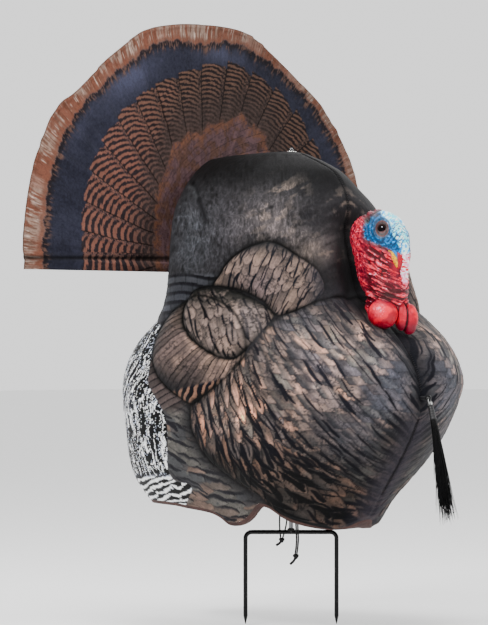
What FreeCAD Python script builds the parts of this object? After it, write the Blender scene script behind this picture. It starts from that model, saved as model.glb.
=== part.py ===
# Strutting turkey decoy on a two-prong ground stake.
# Millimetres. +Z up, the bird faces -Y and its right side is -X.
# The origin is on the post's axis at the height of the crossbar's centreline, which is the ground line.
import FreeCAD, Part
import math, os

V = FreeCAD.Vector
os.makedirs("parts", exist_ok=True)

# ---------------------------------------------------------------- driving sizes
rod_r = 3.175            # 1/4 in steel rod, fork and post
fork_half = 66.0         # half the distance between the prongs
fork_bend = 9.0          # bend radius of the fork's corners, at the centreline
prong_tip_z = -133.0     # prong points
prong_point = 12.0       # length of the sharpened point
swivel_deg = 45.0        # the bird is turned this far from the crossbar's normal
post_top_z = 553.0
cap_r = 3.95
tube_out_r = 5.5         # mast tube
tube_clear = 0.07        # radial running clearance on the post
tube_lo_z, tube_hi_z = 70.0, 543.8
collar_r, collar_h = 8.5, 12.0
foam_t = 6.0             # foam shell thickness
shell_flat_top, shell_flat_in = 550.4, 545.0
grommet_r, grommet_hole_r, grommet_barrel_r = 8.0, 4.5, 5.4
tape_h = 5.0             # width of the sewn edge binding
plate_z, plate_t, plate_r = 80.0, 3.0, 31.0
cord_d = 2.4             # elastic tether cord
hub_z = 380.0            # fan pivot height
fan_y = 183.0            # front face of the first rib
rib_pitch, rib_t, rib_w = 2.6, 1.6, 8.0
gore_t = 0.6
rib_len = 348.0
rib_angles = [177.4, 142.2, 107.4, 72.6, 37.8, 2.6]
fan_bolt_r, rib_bore_r, rib_eye_r = 3.0, 3.05, 10.0
neck_point = V(0, -173.6, 313.5)       # where the neck's axis leaves the breast
neck_lean = 36.0                       # the neck axis leans forward of vertical, degrees
peg_r, peg_bore_r, socket_r = 8.0, 8.06, 12.0
beard_y, beard_z = -272.0, 197.0       # the beard's pivot

# ---------------------------------------------------------------- body section table
# z, half width, reach forward, reach back, front exponent, rear exponent of the super-ellipse section
TAB = [
 (-30,   84,  96, 190, 1.8, 2.9),
 (  5,   98, 136, 216, 1.7, 2.9),
 ( 25,  110, 156, 229, 1.7, 2.9),
 ( 50,  128, 173, 243, 1.7, 2.9),
 ( 80,  160, 196, 248, 1.75, 2.8),
 (110,  184, 218, 244, 1.85, 2.7),
 (150,  200, 243, 241, 2.0, 2.6),
 (190,  206, 258, 244, 2.1, 2.6),
 (220,  207, 254, 241, 2.2, 2.6),
 (250,  204, 240, 228, 2.2, 2.6),
 (275,  197, 220, 205, 2.2, 2.7),
 (300,  187, 193, 172, 2.2, 2.8),
 (325,  175, 172, 150, 2.2, 3.0),
 (350,  166, 160, 146, 2.2, 3.2),
 (390,  157, 149, 148, 2.2, 3.4),
 (430,  148, 137, 150, 2.1, 3.6),
 (470,  128, 120, 157, 1.9, 3.8),
 (500,  101, 105, 161, 1.6, 3.8),
 (520,   78,  88, 163, 1.5, 3.6),
 (534,   55,  60, 163, 1.5, 3.4),
 (543,   36,  36, 160, 1.6, 3.2),
 (549,   18,  18, 120, 1.9, 3.0),
 (552,    3,   3,   9, 2.0, 3.0),
]
# lower edge of the shell: y, z
RIM = [(-190, 30), (-170, 27), (-156, 23), (-140, 13), (-123, 9), (-105, 12), (-90, 17), (-78, 23), (-70, 31), (-62, 40),
       (-52, 42), (-40, 35), (-25, 24), (-5, 15), (12, 12), (22, 13), (32, 21), (45, 28), (60, 31), (100, 35), (130, 38),
       (200, 39), (270, 39)]
# rear opening: half width against z, and its top
ARCH = [(-60, 56), (40, 56), (150, 58), (240, 60), (300, 68), (340, 76), (400, 78), (440, 75), (470, 65), (490, 49), (501, 28), (505, 0)]


def pchip(xs, ys):
    n = len(xs)
    h = [xs[i + 1] - xs[i] for i in range(n - 1)]
    d = [(ys[i + 1] - ys[i]) / h[i] for i in range(n - 1)]
    m = [0.0] * n
    m[0], m[-1] = d[0], d[-1]
    for i in range(1, n - 1):
        if d[i - 1] * d[i] > 0:
            w1, w2 = 2 * h[i] + h[i - 1], h[i] + 2 * h[i - 1]
            m[i] = (w1 + w2) / (w1 / d[i - 1] + w2 / d[i])

    def f(x):
        x = min(max(x, xs[0]), xs[-1])
        i = 0
        while i < n - 2 and x > xs[i + 1]:
            i += 1
        t = (x - xs[i]) / h[i]
        return (ys[i] * (2 * t**3 - 3 * t * t + 1) + h[i] * m[i] * (t**3 - 2 * t * t + t)
                + ys[i + 1] * (-2 * t**3 + 3 * t * t) + h[i] * m[i + 1] * (t**3 - t * t))
    return f


zs = [r[0] for r in TAB]
fa, fb, fr, fnf, fnr = [pchip(zs, [r[k] for r in TAB]) for k in range(1, 6)]
rim_z = pchip([p[0] for p in RIM], [p[1] for p in RIM])
CZ = 230.0                # rays leave the post's axis at this height


def sig(t):
    return 1 / (1 + math.exp(-max(-60, min(60, t))))


def bump(z, z0, z1, w):
    return sig((z - z0) / w) * sig((z1 - z) / w)


_cache = {}


def sect(z):
    key = round(z, 2)
    if key not in _cache:
        _cache[key] = (fa(key), fb(key), fr(key), fnf(key), fnr(key),
                       30.0 * bump(key, 322, 452, 9.0), 15.0 * bump(key, 200, 300, 9.0))
    return _cache[key]


def g(x, y, z):
    """below 1 inside the body's outer form: super-ellipse sections, with a recess behind the head and a cleft down the breast"""
    if z > 552:
        return 9.0
    a, bf, br, nf, nr, rec, cl = sect(z)
    if y < 0:
        b = bf - rec * math.exp(-(x / 40.0)**2) + cl * (0.9 - math.exp(-(x / 24.0)**2))
        return (abs(x) / a)**nf + (abs(y) / b)**nf
    return (abs(x) / a)**nr + (abs(y) / br)**nr


def surf_point(th, ph, grow=0.0):
    """th from the front (-Y) through the right side (-X) to the rear. Above the widest level ph is the elevation of a ray
    from the post's axis; below it ph is negative and the ray is level, 230 mm lower per radian."""
    if ph >= 0:
        dx, dy, dz, z0 = -math.sin(th) * math.cos(ph), -math.cos(th) * math.cos(ph), math.sin(ph), CZ
    else:
        dx, dy, dz, z0 = -math.sin(th), -math.cos(th), 0.0, CZ + 230.0 * ph
    lo, hi = 20.0, 430.0
    for _ in range(30):
        m = (lo + hi) / 2
        if g(m * dx, m * dy, z0 + m * dz) < 1:
            lo = m
        else:
            hi = m
    p = V(lo * dx, lo * dy, z0 + lo * dz)
    if grow:
        e = 0.4
        n = V(g(p.x + e, p.y, p.z) - g(p.x - e, p.y, p.z), g(p.x, p.y + e, p.z) - g(p.x, p.y - e, p.z),
              min(g(p.x, p.y, min(p.z + e, 551.9)), 5) - g(p.x, p.y, p.z - e))
        if n.Length < 1e-9:
            n = V(dx, dy, dz)
        n.normalize()
        p = p + n * grow
    return p


def solid_of(faces):
    sh = Part.makeShell(faces)
    sh.sewShape()
    s = Part.Solid(sh)
    if s.Volume < 0:
        s.reverse()
    return s


def half_dome():
    n_t, n_p = 40, 40
    ths = [math.pi * (i / (n_t - 1)) for i in range(n_t)]
    # tighter near the front seam, where the cleft and the recess are
    ths = [t * (0.55 + 0.45 * t / math.pi) for t in ths]
    ph0, ph1 = -(CZ + 25.0) / 230.0, math.radians(88.95)
    phs = []
    for j in range(n_p):
        s = j / (n_p - 1)
        phs.append(ph0 + (ph1 - ph0) * s)
    out, inn = [], []
    for ph in phs:
        ro, ri = [], []
        for i, th in enumerate(ths):
            a = surf_point(th, ph)
            b = surf_point(th, ph, -foam_t)
            if ph > math.radians(86):           # the top is flat round the eyelet
                b = V(a.x * 0.985, a.y * 0.985, min(b.z, a.z - foam_t))
            if i in (0, n_t - 1):
                a.x = 0.0
                b.x = 0.0
            ro.append(a)
            ri.append(b)
        out.append(ro)
        inn.append(ri)
    so, si = Part.BSplineSurface(), Part.BSplineSurface()
    so.interpolate(out)
    si.interpolate(inn)
    fo, fi = so.toShape(), si.toShape()

    def edges(s):
        u0, u1, v0, v1 = s.bounds()
        return [s.uIso(u0).toShape(), s.uIso(u1).toShape(), s.vIso(v0).toShape(), s.vIso(v1).toShape()]
    faces = [fo, fi]
    for a, b in zip(edges(so), edges(si)):
        faces.append(Part.makeRuledSurface(a, b))
    return solid_of(faces)


def prism(pts, plane, lo, hi, closed_curve=False):
    """a prism from a polyline outline: plane "yz" is extruded along X, "xz" along Y"""
    if plane == "yz":
        vv = [V(lo, p[0], p[1]) for p in pts]
        d = V(hi - lo, 0, 0)
    else:
        vv = [V(p[0], lo, p[1]) for p in pts]
        d = V(0, hi - lo, 0)
    w = Part.makePolygon(vv + [vv[0]])
    return Part.Face(w).extrude(d)


def spline_prism(curve_pts, closing, plane, lo, hi):
    """a prism whose outline is a smooth curve through curve_pts closed by straight lines through closing"""
    def P(p):
        return V(lo, p[0], p[1]) if plane == "yz" else V(p[0], lo, p[1])
    bs = Part.BSplineCurve()
    bs.interpolate([P(p) for p in curve_pts])
    e = [bs.toShape()]
    chain = [curve_pts[-1]] + closing + [curve_pts[0]]
    for a, b in zip(chain[:-1], chain[1:]):
        e.append(Part.makeLine(P(a), P(b)))
    w = Part.Wire(e)
    d = V(hi - lo, 0, 0) if plane == "yz" else V(0, hi - lo, 0)
    return Part.Face(w).extrude(d)


def rim_cut(up):
    pts = [(p[0], p[1] + up) for p in RIM]
    pts = [(y, rim_z(y) + up) for y in [-190 + 460.0 * i / 60 for i in range(61)]]
    return spline_prism(pts, [(270, -140), (-190, -140)], "yz", -300, 300)


def arch_cut(grow):
    zz = [p[0] for p in ARCH]
    f = pchip(zz, [p[1] for p in ARCH])
    right = [(-(p[1] + grow), p[0]) for p in ARCH[:-1]] + [(0, ARCH[-1][0] + grow)]
    # points of the outline, pushed outward along their normals by grow
    base = [(-p[1], p[0]) for p in ARCH]
    full = base + [(-x, z) for x, z in reversed(base[:-1])]
    out = []
    for i, (x, z) in enumerate(full):
        a = full[max(0, i - 1)]
        b = full[min(len(full) - 1, i + 1)]
        tx, tz = b[0] - a[0], b[1] - a[1]
        L = math.hypot(tx, tz)
        out.append((x - grow * tz / L, z + grow * tx / L))
    return spline_prism(out, [], "xz", 70, 420)


def cyl(p, d, r, h):
    return Part.makeCylinder(r, h, p, d)


def along(p, d, t):
    return p + d * t


# ---------------------------------------------------------------- shells and bindings
ax = V(0, -math.sin(math.radians(neck_lean)), math.cos(math.radians(neck_lean)))     # neck axis, out of the breast
dome = half_dome()
print("dome", dome.isValid(), round(dome.Volume))
rim0, rim1 = rim_cut(0.0), rim_cut(tape_h)
arch0, arch1 = arch_cut(0.0), arch_cut(tape_h)
top_cut = cyl(V(0, 0, shell_flat_top), V(0, 0, 1), 9.6, 6)
in_cut = cyl(V(0, 0, shell_flat_in - 8), V(0, 0, 1), 14.5, 8)
eye_cut = cyl(V(0, 0, 500), V(0, 0, 1), grommet_barrel_r, 80)
sock_cut = cyl(along(neck_point, ax, -30), ax, socket_r, 60)   # the socket cup passes through the foam
stud_cut = cyl(V(0, beard_y + 8, beard_z), V(0, 1, 0), 3.0, 30)
half = dome
for c in (top_cut, in_cut, eye_cut, sock_cut, stud_cut):
    half = half.cut(c)
shell = half.cut(rim1).cut(arch1)
rimb = half.cut(rim0).common(rim1).cut(arch1)
archb = half.cut(arch0).common(arch1).cut(rim0)
MIR = (V(0, 0, 0), V(1, 0, 0))


def solids(s):
    return [x for x in s.Solids if x.Volume > 1.0]


def one(s, name, keep=1):
    ss = sorted(solids(s), key=lambda x: -x.Volume)
    print(name, "solids", len(ss), [round(x.Volume) for x in ss[:4]], "valid", all(x.isValid() for x in ss))
    return ss[0] if keep == 1 else Part.makeCompound(ss[:keep])


PARTS = {}
PARTS["body_shell_right"] = one(shell, "shell")
PARTS["body_shell_left"] = PARTS["body_shell_right"].mirror(*MIR)
PARTS["rim_binding_right"] = one(rimb, "rim binding")
PARTS["rim_binding_left"] = PARTS["rim_binding_right"].mirror(*MIR)
PARTS["arch_binding_right"] = one(archb, "arch binding")
PARTS["arch_binding_left"] = PARTS["arch_binding_right"].mirror(*MIR)

# ---------------------------------------------------------------- seam stitching: raised strips of thread along the centre seam
def profile(y_from, y_to, n, front=True):
    pts = []
    return pts


def seam_strip(ph_list, front, lift, thick, half_w):
    lo, hi = [], []
    for ph in ph_list:
        th = 0.0 if front else math.pi
        a = surf_point(th, ph, lift)
        b = surf_point(th, ph, lift + thick)
        lo.append(V(-half_w, a.y, a.z))
        hi.append(V(-half_w, b.y, b.z))
    c1, c2 = Part.BSplineCurve(), Part.BSplineCurve()
    c1.interpolate(lo)
    c2.interpolate(hi)
    e = [c1.toShape(), Part.makeLine(lo[-1], hi[-1]), c2.toShape(), Part.makeLine(hi[0], lo[0])]
    return Part.Face(Part.Wire(e)).extrude(V(2 * half_w, 0, 0))


def phi_of(y, z):
    return math.atan2(z - CZ, abs(y)) if z >= CZ else (z - CZ) / 230.0


def lin(a, b, n):
    return [a + (b - a) * i / (n - 1) for i in range(n)]


rear_top = seam_strip(lin(phi_of(16, 550), phi_of(156, 539.5), 16), False, 0.08, 1.1, 1.2)
front_top = seam_strip(lin(phi_of(-16, 549.6), phi_of(-112, 380), 30), True, 0.08, 1.1, 1.2)
chest = seam_strip(lin(phi_of(-196, 283), phi_of(-258, 212), 16), True, 0.08, 1.1, 1.2)
belly = seam_strip(lin(phi_of(-258, 182), phi_of(-160, 30), 22), True, 0.08, 1.1, 1.2)
print("strips", [round(s.Volume, 1) for s in (rear_top, front_top, chest, belly)])
strips = []
for s in (rear_top, front_top, chest, belly):
    s = s.cut(PARTS["body_shell_right"]).cut(PARTS["body_shell_left"])
    strips.append(one(s, "strip"))
PARTS["seam_stitching"] = Part.makeCompound(strips)

# ---------------------------------------------------------------- stake
ca = math.cos(math.radians(swivel_deg))
E = V(ca, -ca, 0)            # along the crossbar
F = V(ca, ca, 0)             # across it, away from the bird's right front


def tube_path(pts, r, bend=None):
    """a round bar along straight runs joined by tangent arcs; returns the solid, its centreline length and the arc radii"""
    edges, radii = [], []
    cur = pts[0]
    n = len(pts)
    length = 0.0
    for i in range(1, n - 1):
        a, b = pts[i] - pts[i - 1], pts[i + 1] - pts[i]
        la, lb = a.Length, b.Length
        ua, ub = a * (1 / la), b * (1 / lb)
        turn = math.acos(max(-1, min(1, ua.dot(ub))))
        R = bend if bend else 0.45 * min(la, lb) / math.tan(turn / 2)
        t = R * math.tan(turn / 2)
        p1, p2 = pts[i] - ua * t, pts[i] + ub * t
        nrm = (ub - ua)
        nrm.normalize()
        c = pts[i] + nrm * (R / math.cos(turn / 2))
        mid = c - nrm * R
        if (p1 - cur).Length > 1e-6:
            edges.append(Part.makeLine(cur, p1))
            length += (p1 - cur).Length
        edges.append(Part.Arc(p1, mid, p2).toShape())
        length += R * turn
        radii.append(round(R, 1))
        cur = p2
    edges.append(Part.makeLine(cur, pts[-1]))
    length += (pts[-1] - cur).Length
    w = Part.Wire(edges)
    d = pts[1] - pts[0]
    circ = Part.Wire([Part.makeCircle(r, pts[0], d)])
    s = w.makePipeShell([circ], True, True, 2)
    return s, length, radii


zt = prong_tip_z + prong_point
fork, flen, frad = tube_path([E * -fork_half + V(0, 0, zt), E * -fork_half, E * fork_half, E * fork_half + V(0, 0, zt)], rod_r, fork_bend)
for sgn in (-1, 1):
    tip = Part.makeCone(rod_r, 0.5, prong_point, E * (sgn * fork_half) + V(0, 0, zt), V(0, 0, -1))
    fork = fork.fuse(tip)
fork = fork.removeSplitter()
PARTS["stake_fork"] = one(fork, "fork")
post = cyl(V(0, 0, 0), V(0, 0, 1), rod_r, post_top_z)
bar = cyl(E * -30, E, rod_r, 60)
post = post.cut(bar)
PARTS["stake_post"] = one(post, "post")
bead = Part.makeTorus(rod_r + 0.2, 2.0, V(0, 0, rod_r + 0.5), V(0, 0, 1)).fuse(Part.makeCone(rod_r + 2.6, rod_r + 0.6, 4.2, V(0, 0, 0.6), V(0, 0, 1)))
bead = bead.cut(bar).cut(cyl(V(0, 0, -20), V(0, 0, 1), rod_r, 60)).cut(Part.makeBox(60, 60, 40, V(-30, -30, -40)))
bead = bead.cut(Part.makeBox(60, 60, 0.8, V(-30, -30, 0)))
PARTS["stake_weld"] = one(bead, "weld")
cap = Part.makeCylinder(cap_r, 6.6, V(0, 0, 546.4)).fuse(Part.makeSphere(cap_r, V(0, 0, 553.0), V(0, 0, 1), 0, 90, 360))
cap = cap.cut(cyl(V(0, 0, 540), V(0, 0, 1), rod_r, post_top_z - 540))
PARTS["post_cap"] = one(cap, "cap")
collar = cyl(V(0, 0, tube_lo_z - collar_h), V(0, 0, 1), collar_r, collar_h).cut(cyl(V(0, 0, 40), V(0, 0, 1), rod_r, 60))
scr_z = tube_lo_z - collar_h / 2
scr = cyl(V(0, -rod_r, scr_z), V(0, -1, 0), 1.5, 6.0).fuse(cyl(V(0, -collar_r + 0.2, scr_z), V(0, -1, 0), 2.6, 3.0))
hexs = Part.Face(Part.makePolygon([V(1.3 * math.cos(k * math.pi / 3), -collar_r - 3, scr_z + 1.3 * math.sin(k * math.pi / 3)) for k in range(7)])).extrude(V(0, 2.0, 0))
scr = scr.cut(hexs).cut(cyl(V(0, 0, 40), V(0, 0, 1), rod_r, 60))
collar = collar.cut(scr)
PARTS["stop_collar"] = one(collar, "collar")
PARTS["collar_screw"] = one(scr, "collar screw")

# ---------------------------------------------------------------- mast tube, eyelet, tether plate
tube = cyl(V(0, 0, tube_lo_z), V(0, 0, 1), tube_out_r, tube_hi_z - tube_lo_z).fuse(cyl(V(0, 0, tube_hi_z - 2.5), V(0, 0, 1), 13.0, 2.5))
tube = tube.fuse(Part.makeCone(tube_out_r, 11.0, 7.0, V(0, 0, tube_hi_z - 9.5), V(0, 0, 1)))
tube = tube.cut(cyl(V(0, 0, 0), V(0, 0, 1), rod_r + tube_clear, 543.0)).cut(cyl(V(0, 0, 540), V(0, 0, 1), grommet_hole_r, 20))
PARTS["mast_tube"] = one(tube, "mast tube")
wash = cyl(V(0, 0, tube_hi_z), V(0, 0, 1), 9.5, shell_flat_in - tube_hi_z).cut(cyl(V(0, 0, 500), V(0, 0, 1), grommet_barrel_r, 80))
grom = cyl(V(0, 0, tube_hi_z), V(0, 0, 1), grommet_barrel_r, shell_flat_top - tube_hi_z)
fl = cyl(V(0, 0, shell_flat_top), V(0, 0, 1), grommet_r, 1.5)
fl = fl.makeFillet(0.7, [e for e in fl.Edges if e.BoundBox.ZMin > shell_flat_top + 1.4])
grom = grom.fuse(fl).cut(cyl(V(0, 0, 500), V(0, 0, 1), grommet_hole_r, 80))
PARTS["top_eyelet"] = one(grom, "eyelet")
PARTS["eyelet_washer"] = one(wash, "eyelet washer")
plate = cyl(V(0, 0, plate_z), V(0, 0, 1), plate_r, plate_t).fuse(cyl(V(0, 0, plate_z), V(0, 0, 1), 9.5, 14)).cut(cyl(V(0, 0, 0), V(0, 0, 1), tube_out_r, 200))
PARTS["tether_plate"] = one(plate, "tether plate")

# ---------------------------------------------------------------- fan arm and hub
arm = cyl(V(0, 0, 352), V(0, 0, 1), 11.0, 26).fuse(Part.makeBox(11, 170, 13, V(-5.5, 6, 354)))
arm = arm.fuse(cyl(V(0, fan_y - 7, hub_z), V(0, 1, 0), 22.0, 6.0))
arm = arm.fuse(prism([(120, 354), (fan_y - 4, 354), (fan_y - 4, 366), (fan_y - 12, 367), (120, 340)], "yz", -2.0, 2.0))
arm = arm.cut(cyl(V(0, 0, 300), V(0, 0, 1), tube_out_r, 120)).cut(cyl(V(0, fan_y - 20, hub_z), V(0, 1, 0), fan_bolt_r, 60))
PARTS["fan_arm"] = one(arm.removeSplitter(), "fan arm")
lay_end = fan_y + 6 * rib_pitch
bolt = cyl(V(0, fan_y - 9, hub_z), V(0, 1, 0), fan_bolt_r, lay_end + 14 - fan_y + 9)
headb = Part.makeSphere(9.0, V(0, fan_y - 7 + 5.6, hub_z)).common(cyl(V(0, fan_y - 20, hub_z), V(0, 1, 0), 7.0, 13.0))
bolt = bolt.fuse(headb)
PARTS["fan_bolt"] = one(bolt, "fan bolt")
ws = [cyl(V(0, fan_y - 1.0, hub_z), V(0, 1, 0), 8.5, 1.0)]
for i in range(1, 6):
    ws.append(cyl(V(0, fan_y + i * rib_pitch - (rib_pitch - rib_t), hub_z), V(0, 1, 0), 8.5, rib_pitch - rib_t))
ws.append(cyl(V(0, lay_end - (rib_pitch - rib_t), hub_z), V(0, 1, 0), 8.5, 1.6))
bolt_hole = cyl(V(0, fan_y - 30, hub_z), V(0, 1, 0), fan_bolt_r, 90)
PARTS["fan_washers"] = Part.makeCompound([w.cut(bolt_hole) for w in ws])
nut_y = lay_end + 0.6
nut = Part.makeCone(7.5, 5.0, 7.0, V(0, nut_y, hub_z), V(0, 1, 0))
for sgn in (-1, 1):
    wing = prism([(sgn * 3.5, hub_z - 3.4), (sgn * 3.5, hub_z + 3.4), (sgn * 13, hub_z + 8.5), (sgn * 17, hub_z + 7.5), (sgn * 17, hub_z + 2), (sgn * 9, hub_z - 3.4)], "xz", nut_y + 1.6, nut_y + 5.2)
    nut = nut.fuse(wing)
nut = nut.cut(bolt_hole)
PARTS["fan_wing_nut"] = one(nut, "wing nut")

# ---------------------------------------------------------------- ribs and gores
TIP_R = [353.0, 366.0, 366.0, 366.0, 364.0, 353.0]


def pol(r, deg, y):
    a = math.radians(deg)
    return V(r * math.cos(a), y, hub_z + r * math.sin(a))


for i, al in enumerate(rib_angles):
    y0 = fan_y + i * rib_pitch
    a = math.radians(al)
    d, nrm = V(math.cos(a), 0, math.sin(a)), V(-math.sin(a), 0, math.cos(a))
    c = V(0, y0, hub_z)
    w0, w1 = rib_w / 2, rib_w / 2 - 1.2
    pts = [c + nrm * w0, c + d * (rib_len - 4) + nrm * w1, c + d * rib_len, c + d * (rib_len - 4) - nrm * w1, c - nrm * w0]
    f = Part.Face(Part.makePolygon(pts + [pts[0]])).extrude(V(0, rib_t, 0))
    eye = cyl(c, V(0, 1, 0), rib_eye_r, rib_t)
    rib = f.fuse(eye).cut(cyl(c - V(0, 5, 0), V(0, 1, 0), rib_bore_r, 20)).removeSplitter()
    PARTS["fan_rib_%d" % (i + 1)] = one(rib, "rib %d" % (i + 1))

gore_span = [(180.0, 142.2), (142.2, 107.4), (107.4, 72.6), (72.6, 37.8), (37.8, 0.0)]
gore_edge = [
    [(180, 353), (171, 359), (163, 362), (155, 365), (148, 367), (142.2, 366)],
    [(142.2, 366), (136, 359), (130, 357), (122, 358), (114, 363), (107.4, 366)],
    [(107.4, 366), (99, 364), (90, 364), (81, 364), (72.6, 366)],
    [(72.6, 366), (66, 362), (58, 358), (50, 358), (44, 361), (37.8, 364)],
    [(37.8, 364), (32, 366), (25, 365), (17, 362), (9, 359), (0, 353)],
]
for i, (a0, a1) in enumerate(gore_span):
    y0 = fan_y + i * rib_pitch + rib_t
    outer = [pol(r, dg, y0) for dg, r in gore_edge[i]]
    inner = [pol(26.0, dg, y0) for dg in (a1, (a0 + a1) / 2, a0)]
    pts = outer + inner
    s = Part.Face(Part.makePolygon(pts + [pts[0]])).extrude(V(0, gore_t, 0))
    PARTS["fan_gore_%d" % (i + 1)] = one(s, "gore %d" % (i + 1))

# ---------------------------------------------------------------- neck arm and socket, head
narm = cyl(V(0, 0, 246), V(0, 0, 1), 11.0, 26)
cup = cyl(along(neck_point, ax, -57), ax, socket_r, 57.5)
narm = narm.fuse(Part.makeBox(11, 146, 14, V(-5.5, -152, 256))).fuse(cup)
narm = narm.cut(cyl(V(0, 0, 200), V(0, 0, 1), tube_out_r, 120)).cut(cyl(along(neck_point, ax, -51), ax, peg_bore_r, 80))
narm = narm.cut(cyl(along(neck_point, ax, 1.0), ax, 30, 40))
# nothing of the arm may stand proud of the cup on the far side
PARTS["neck_arm"] = one(narm.removeSplitter(), "neck arm")
peg = cyl(along(neck_point, ax, -51), ax, peg_r, 66).fuse(cyl(along(neck_point, ax, 3.5), ax, 12.0, 3.5))


def ellipse_wire(c, n, a, b, ydir=V(1, 0, 0)):
    """ellipse with half width a along X and b across it, normal n"""
    n = V(n)
    n.normalize()
    xd = V(1, 0, 0)
    yd = n.cross(xd)
    yd.normalize()
    pts = [c + xd * (a * math.cos(t)) + yd * (b * math.sin(t)) for t in [2 * math.pi * k / 16 for k in range(16)]]
    bs = Part.BSplineCurve()
    bs.interpolate(pts, PeriodicFlag=True)
    return Part.Wire([bs.toShape()])


root = along(neck_point, ax, 3.5)
secs = [(root, ax, 20, 19), (V(0, -182.5, 325), V(0, -0.42, 1), 22.5, 23), (V(0, -189.5, 337), V(0, -0.2, 1), 24, 28.5),
        (V(0, -186.4, 355.8), V(0, 0, 1), 26, 37), (V(0, -181.0, 376), V(0, 0, 1), 26.5, 39.8), (V(0, -181.5, 395.3), V(0, 0, 1), 29, 44),
        (V(0, -178.0, 419.3), V(0, 0, 1), 32, 47.5), (V(0, -174.5, 437.7), V(0, 0, 1), 30, 42), (V(0, -175.6, 453.5), V(0, 0, 1), 21.5, 29.5),
        (V(0, -177.0, 461), V(0, 0, 1), 12, 17), (V(0, -177.5, 465), V(0, 0, 1), 4, 6)]
head = Part.makeLoft([ellipse_wire(c, n, a, b) for c, n, a, b in secs], True, False)
for c, r in ((V(-15, -200, 315), 20.0), (V(8, -211, 314), 17.0), (V(20, -206, 316), 15.0), (V(3, -217, 303), 11.5)):
    head = head.fuse(Part.makeSphere(r, c))
beak_d = V(0, -12, -24)
beak = Part.makeCone(10.0, 2.0, 28, V(0, -219, 408), beak_d)
beak = beak.fuse(Part.makeSphere(2.0, V(0, -219, 408) + beak_d * (28 / beak_d.Length)))
head = head.fuse(beak)
sn_d = V(4, -6, -50)
snood = Part.makeCone(5.5, 3.4, 46, V(2, -229, 408), sn_d).fuse(Part.makeSphere(3.4, V(2, -229, 408) + sn_d * (46 / sn_d.Length))).fuse(Part.makeSphere(5.5, V(2, -229, 408)))
head = head.fuse(snood)
EYE = [(-1, V(-18.8, -200.0, 434.5)), (1, V(18.8, -200.0, 434.5))]
for sgn, c in EYE:
    ball = Part.makeSphere(7.5, c, V(sgn, 0, 0))
    head = head.cut(ball)
    left_in = head.common(ball).Volume
    if left_in > 0.01:
        ball = Part.makeSphere(7.5, c, V(0.31 * sgn, 0.77, 0.55))
        head = head.cut(ball)
        left_in = head.common(ball).Volume
    print("eye", sgn, "left in the head", round(left_in, 3))
    PARTS["eye_right" if sgn < 0 else "eye_left"] = ball
head = head.cut(peg).cut(cyl(along(neck_point, ax, -60), ax, 60, 63.5))


def breast_block(grow):
    """the breast under the neck as a solid block, its outer face grown by a clearance"""
    n = 22
    out, inn = [], []
    for j in range(n):
        ph = math.radians(2 + 52.0 * j / (n - 1))
        ro, ri = [], []
        for i in range(n):
            th = math.radians(-56 + 112.0 * i / (n - 1))
            a = surf_point(th, ph, grow)
            ro.append(a)
            ri.append(V(a.x * 0.7, a.y * 0.7, CZ + (a.z - CZ) * 0.7))
        out.append(ro)
        inn.append(ri)
    so, si = Part.BSplineSurface(), Part.BSplineSurface()
    so.interpolate(out)
    si.interpolate(inn)

    def edges(q):
        u0, u1, v0, v1 = q.bounds()
        return [q.uIso(u0).toShape(), q.uIso(u1).toShape(), q.vIso(v0).toShape(), q.vIso(v1).toShape()]
    return solid_of([so.toShape(), si.toShape()] + [Part.makeRuledSurface(a, b) for a, b in zip(edges(so), edges(si))])


# the underside of the neck and wattles clears the breast through the head's whole turn
block = breast_block(0.9)
print("breast block", block.isValid(), round(block.Volume))
for deg in (0, -20, 20, -10, 10):
    b = block.copy()
    b.rotate(neck_point, ax, deg)
    head = head.cut(b)
    print("head trimmed at", deg, "solids", len(head.Solids), round(head.Volume))
PARTS["neck_peg"] = one(peg, "peg")
PARTS["head"] = one(head.removeSplitter(), "head")

# ---------------------------------------------------------------- beard
stud = cyl(V(0, beard_y + 5, beard_z), V(0, 1, 0), 3.0, 17).fuse(cyl(V(0, -253.0, beard_z), V(0, 1, 0), 8.0, 3.0))
eye = cyl(V(-1.2, beard_y, beard_z), V(1, 0, 0), 4.2, 2.4).fuse(Part.makeBox(2.4, 6, 4, V(-1.2, beard_y, beard_z - 2)))
stud = stud.fuse(eye).cut(cyl(V(-10, beard_y, beard_z), V(1, 0, 0), 1.58, 20))
stud = stud.cut(PARTS["body_shell_right"]).cut(PARTS["body_shell_left"])
PARTS["beard_stud"] = one(stud, "beard stud")
lean = math.radians(15.6)
bd = V(0, -math.sin(lean), -math.cos(lean))       # down the beard
bp = V(0, beard_y, beard_z)
clip = cyl(V(-3.4, beard_y, beard_z), V(1, 0, 0), 1.5, 6.8)
for sgn in (-1, 1):
    p0 = bp + V(sgn * 2.4, 0, 0)
    clip = clip.fuse(cyl(p0 - bd * 1.5, bd, 0.9, 11.5))
clip = clip.fuse(cyl(bp + bd * 6.0, bd, 3.6, 4.0))
wrap = Part.makeCone(4.2, 5.2, 22, bp + bd * 10.0, bd)
PARTS["beard_clip"] = one(clip, "beard clip")
PARTS["beard_wrap"] = one(wrap, "beard wrap")
bsecs = [(32, 4.6, 4.6, 0), (60, 7.0, 5.5, 0.4), (100, 10.5, 7.0, 1.0), (140, 13.5, 8.5, 1.4), (172, 15.5, 9.5, 1.8), (178, 13.0, 7.5, 1.8)]
bl = Part.makeLoft([ellipse_wire(bp + bd * t + V(0, -o, 0), bd, a, b) for t, a, b, o in bsecs], True, False)
PARTS["beard_bristles"] = one(bl, "bristles")

# ---------------------------------------------------------------- tether cords: s along the crossbar, p across it, z
def W(s, p, z):
    return E * s + F * p + V(0, 0, z)


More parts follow.
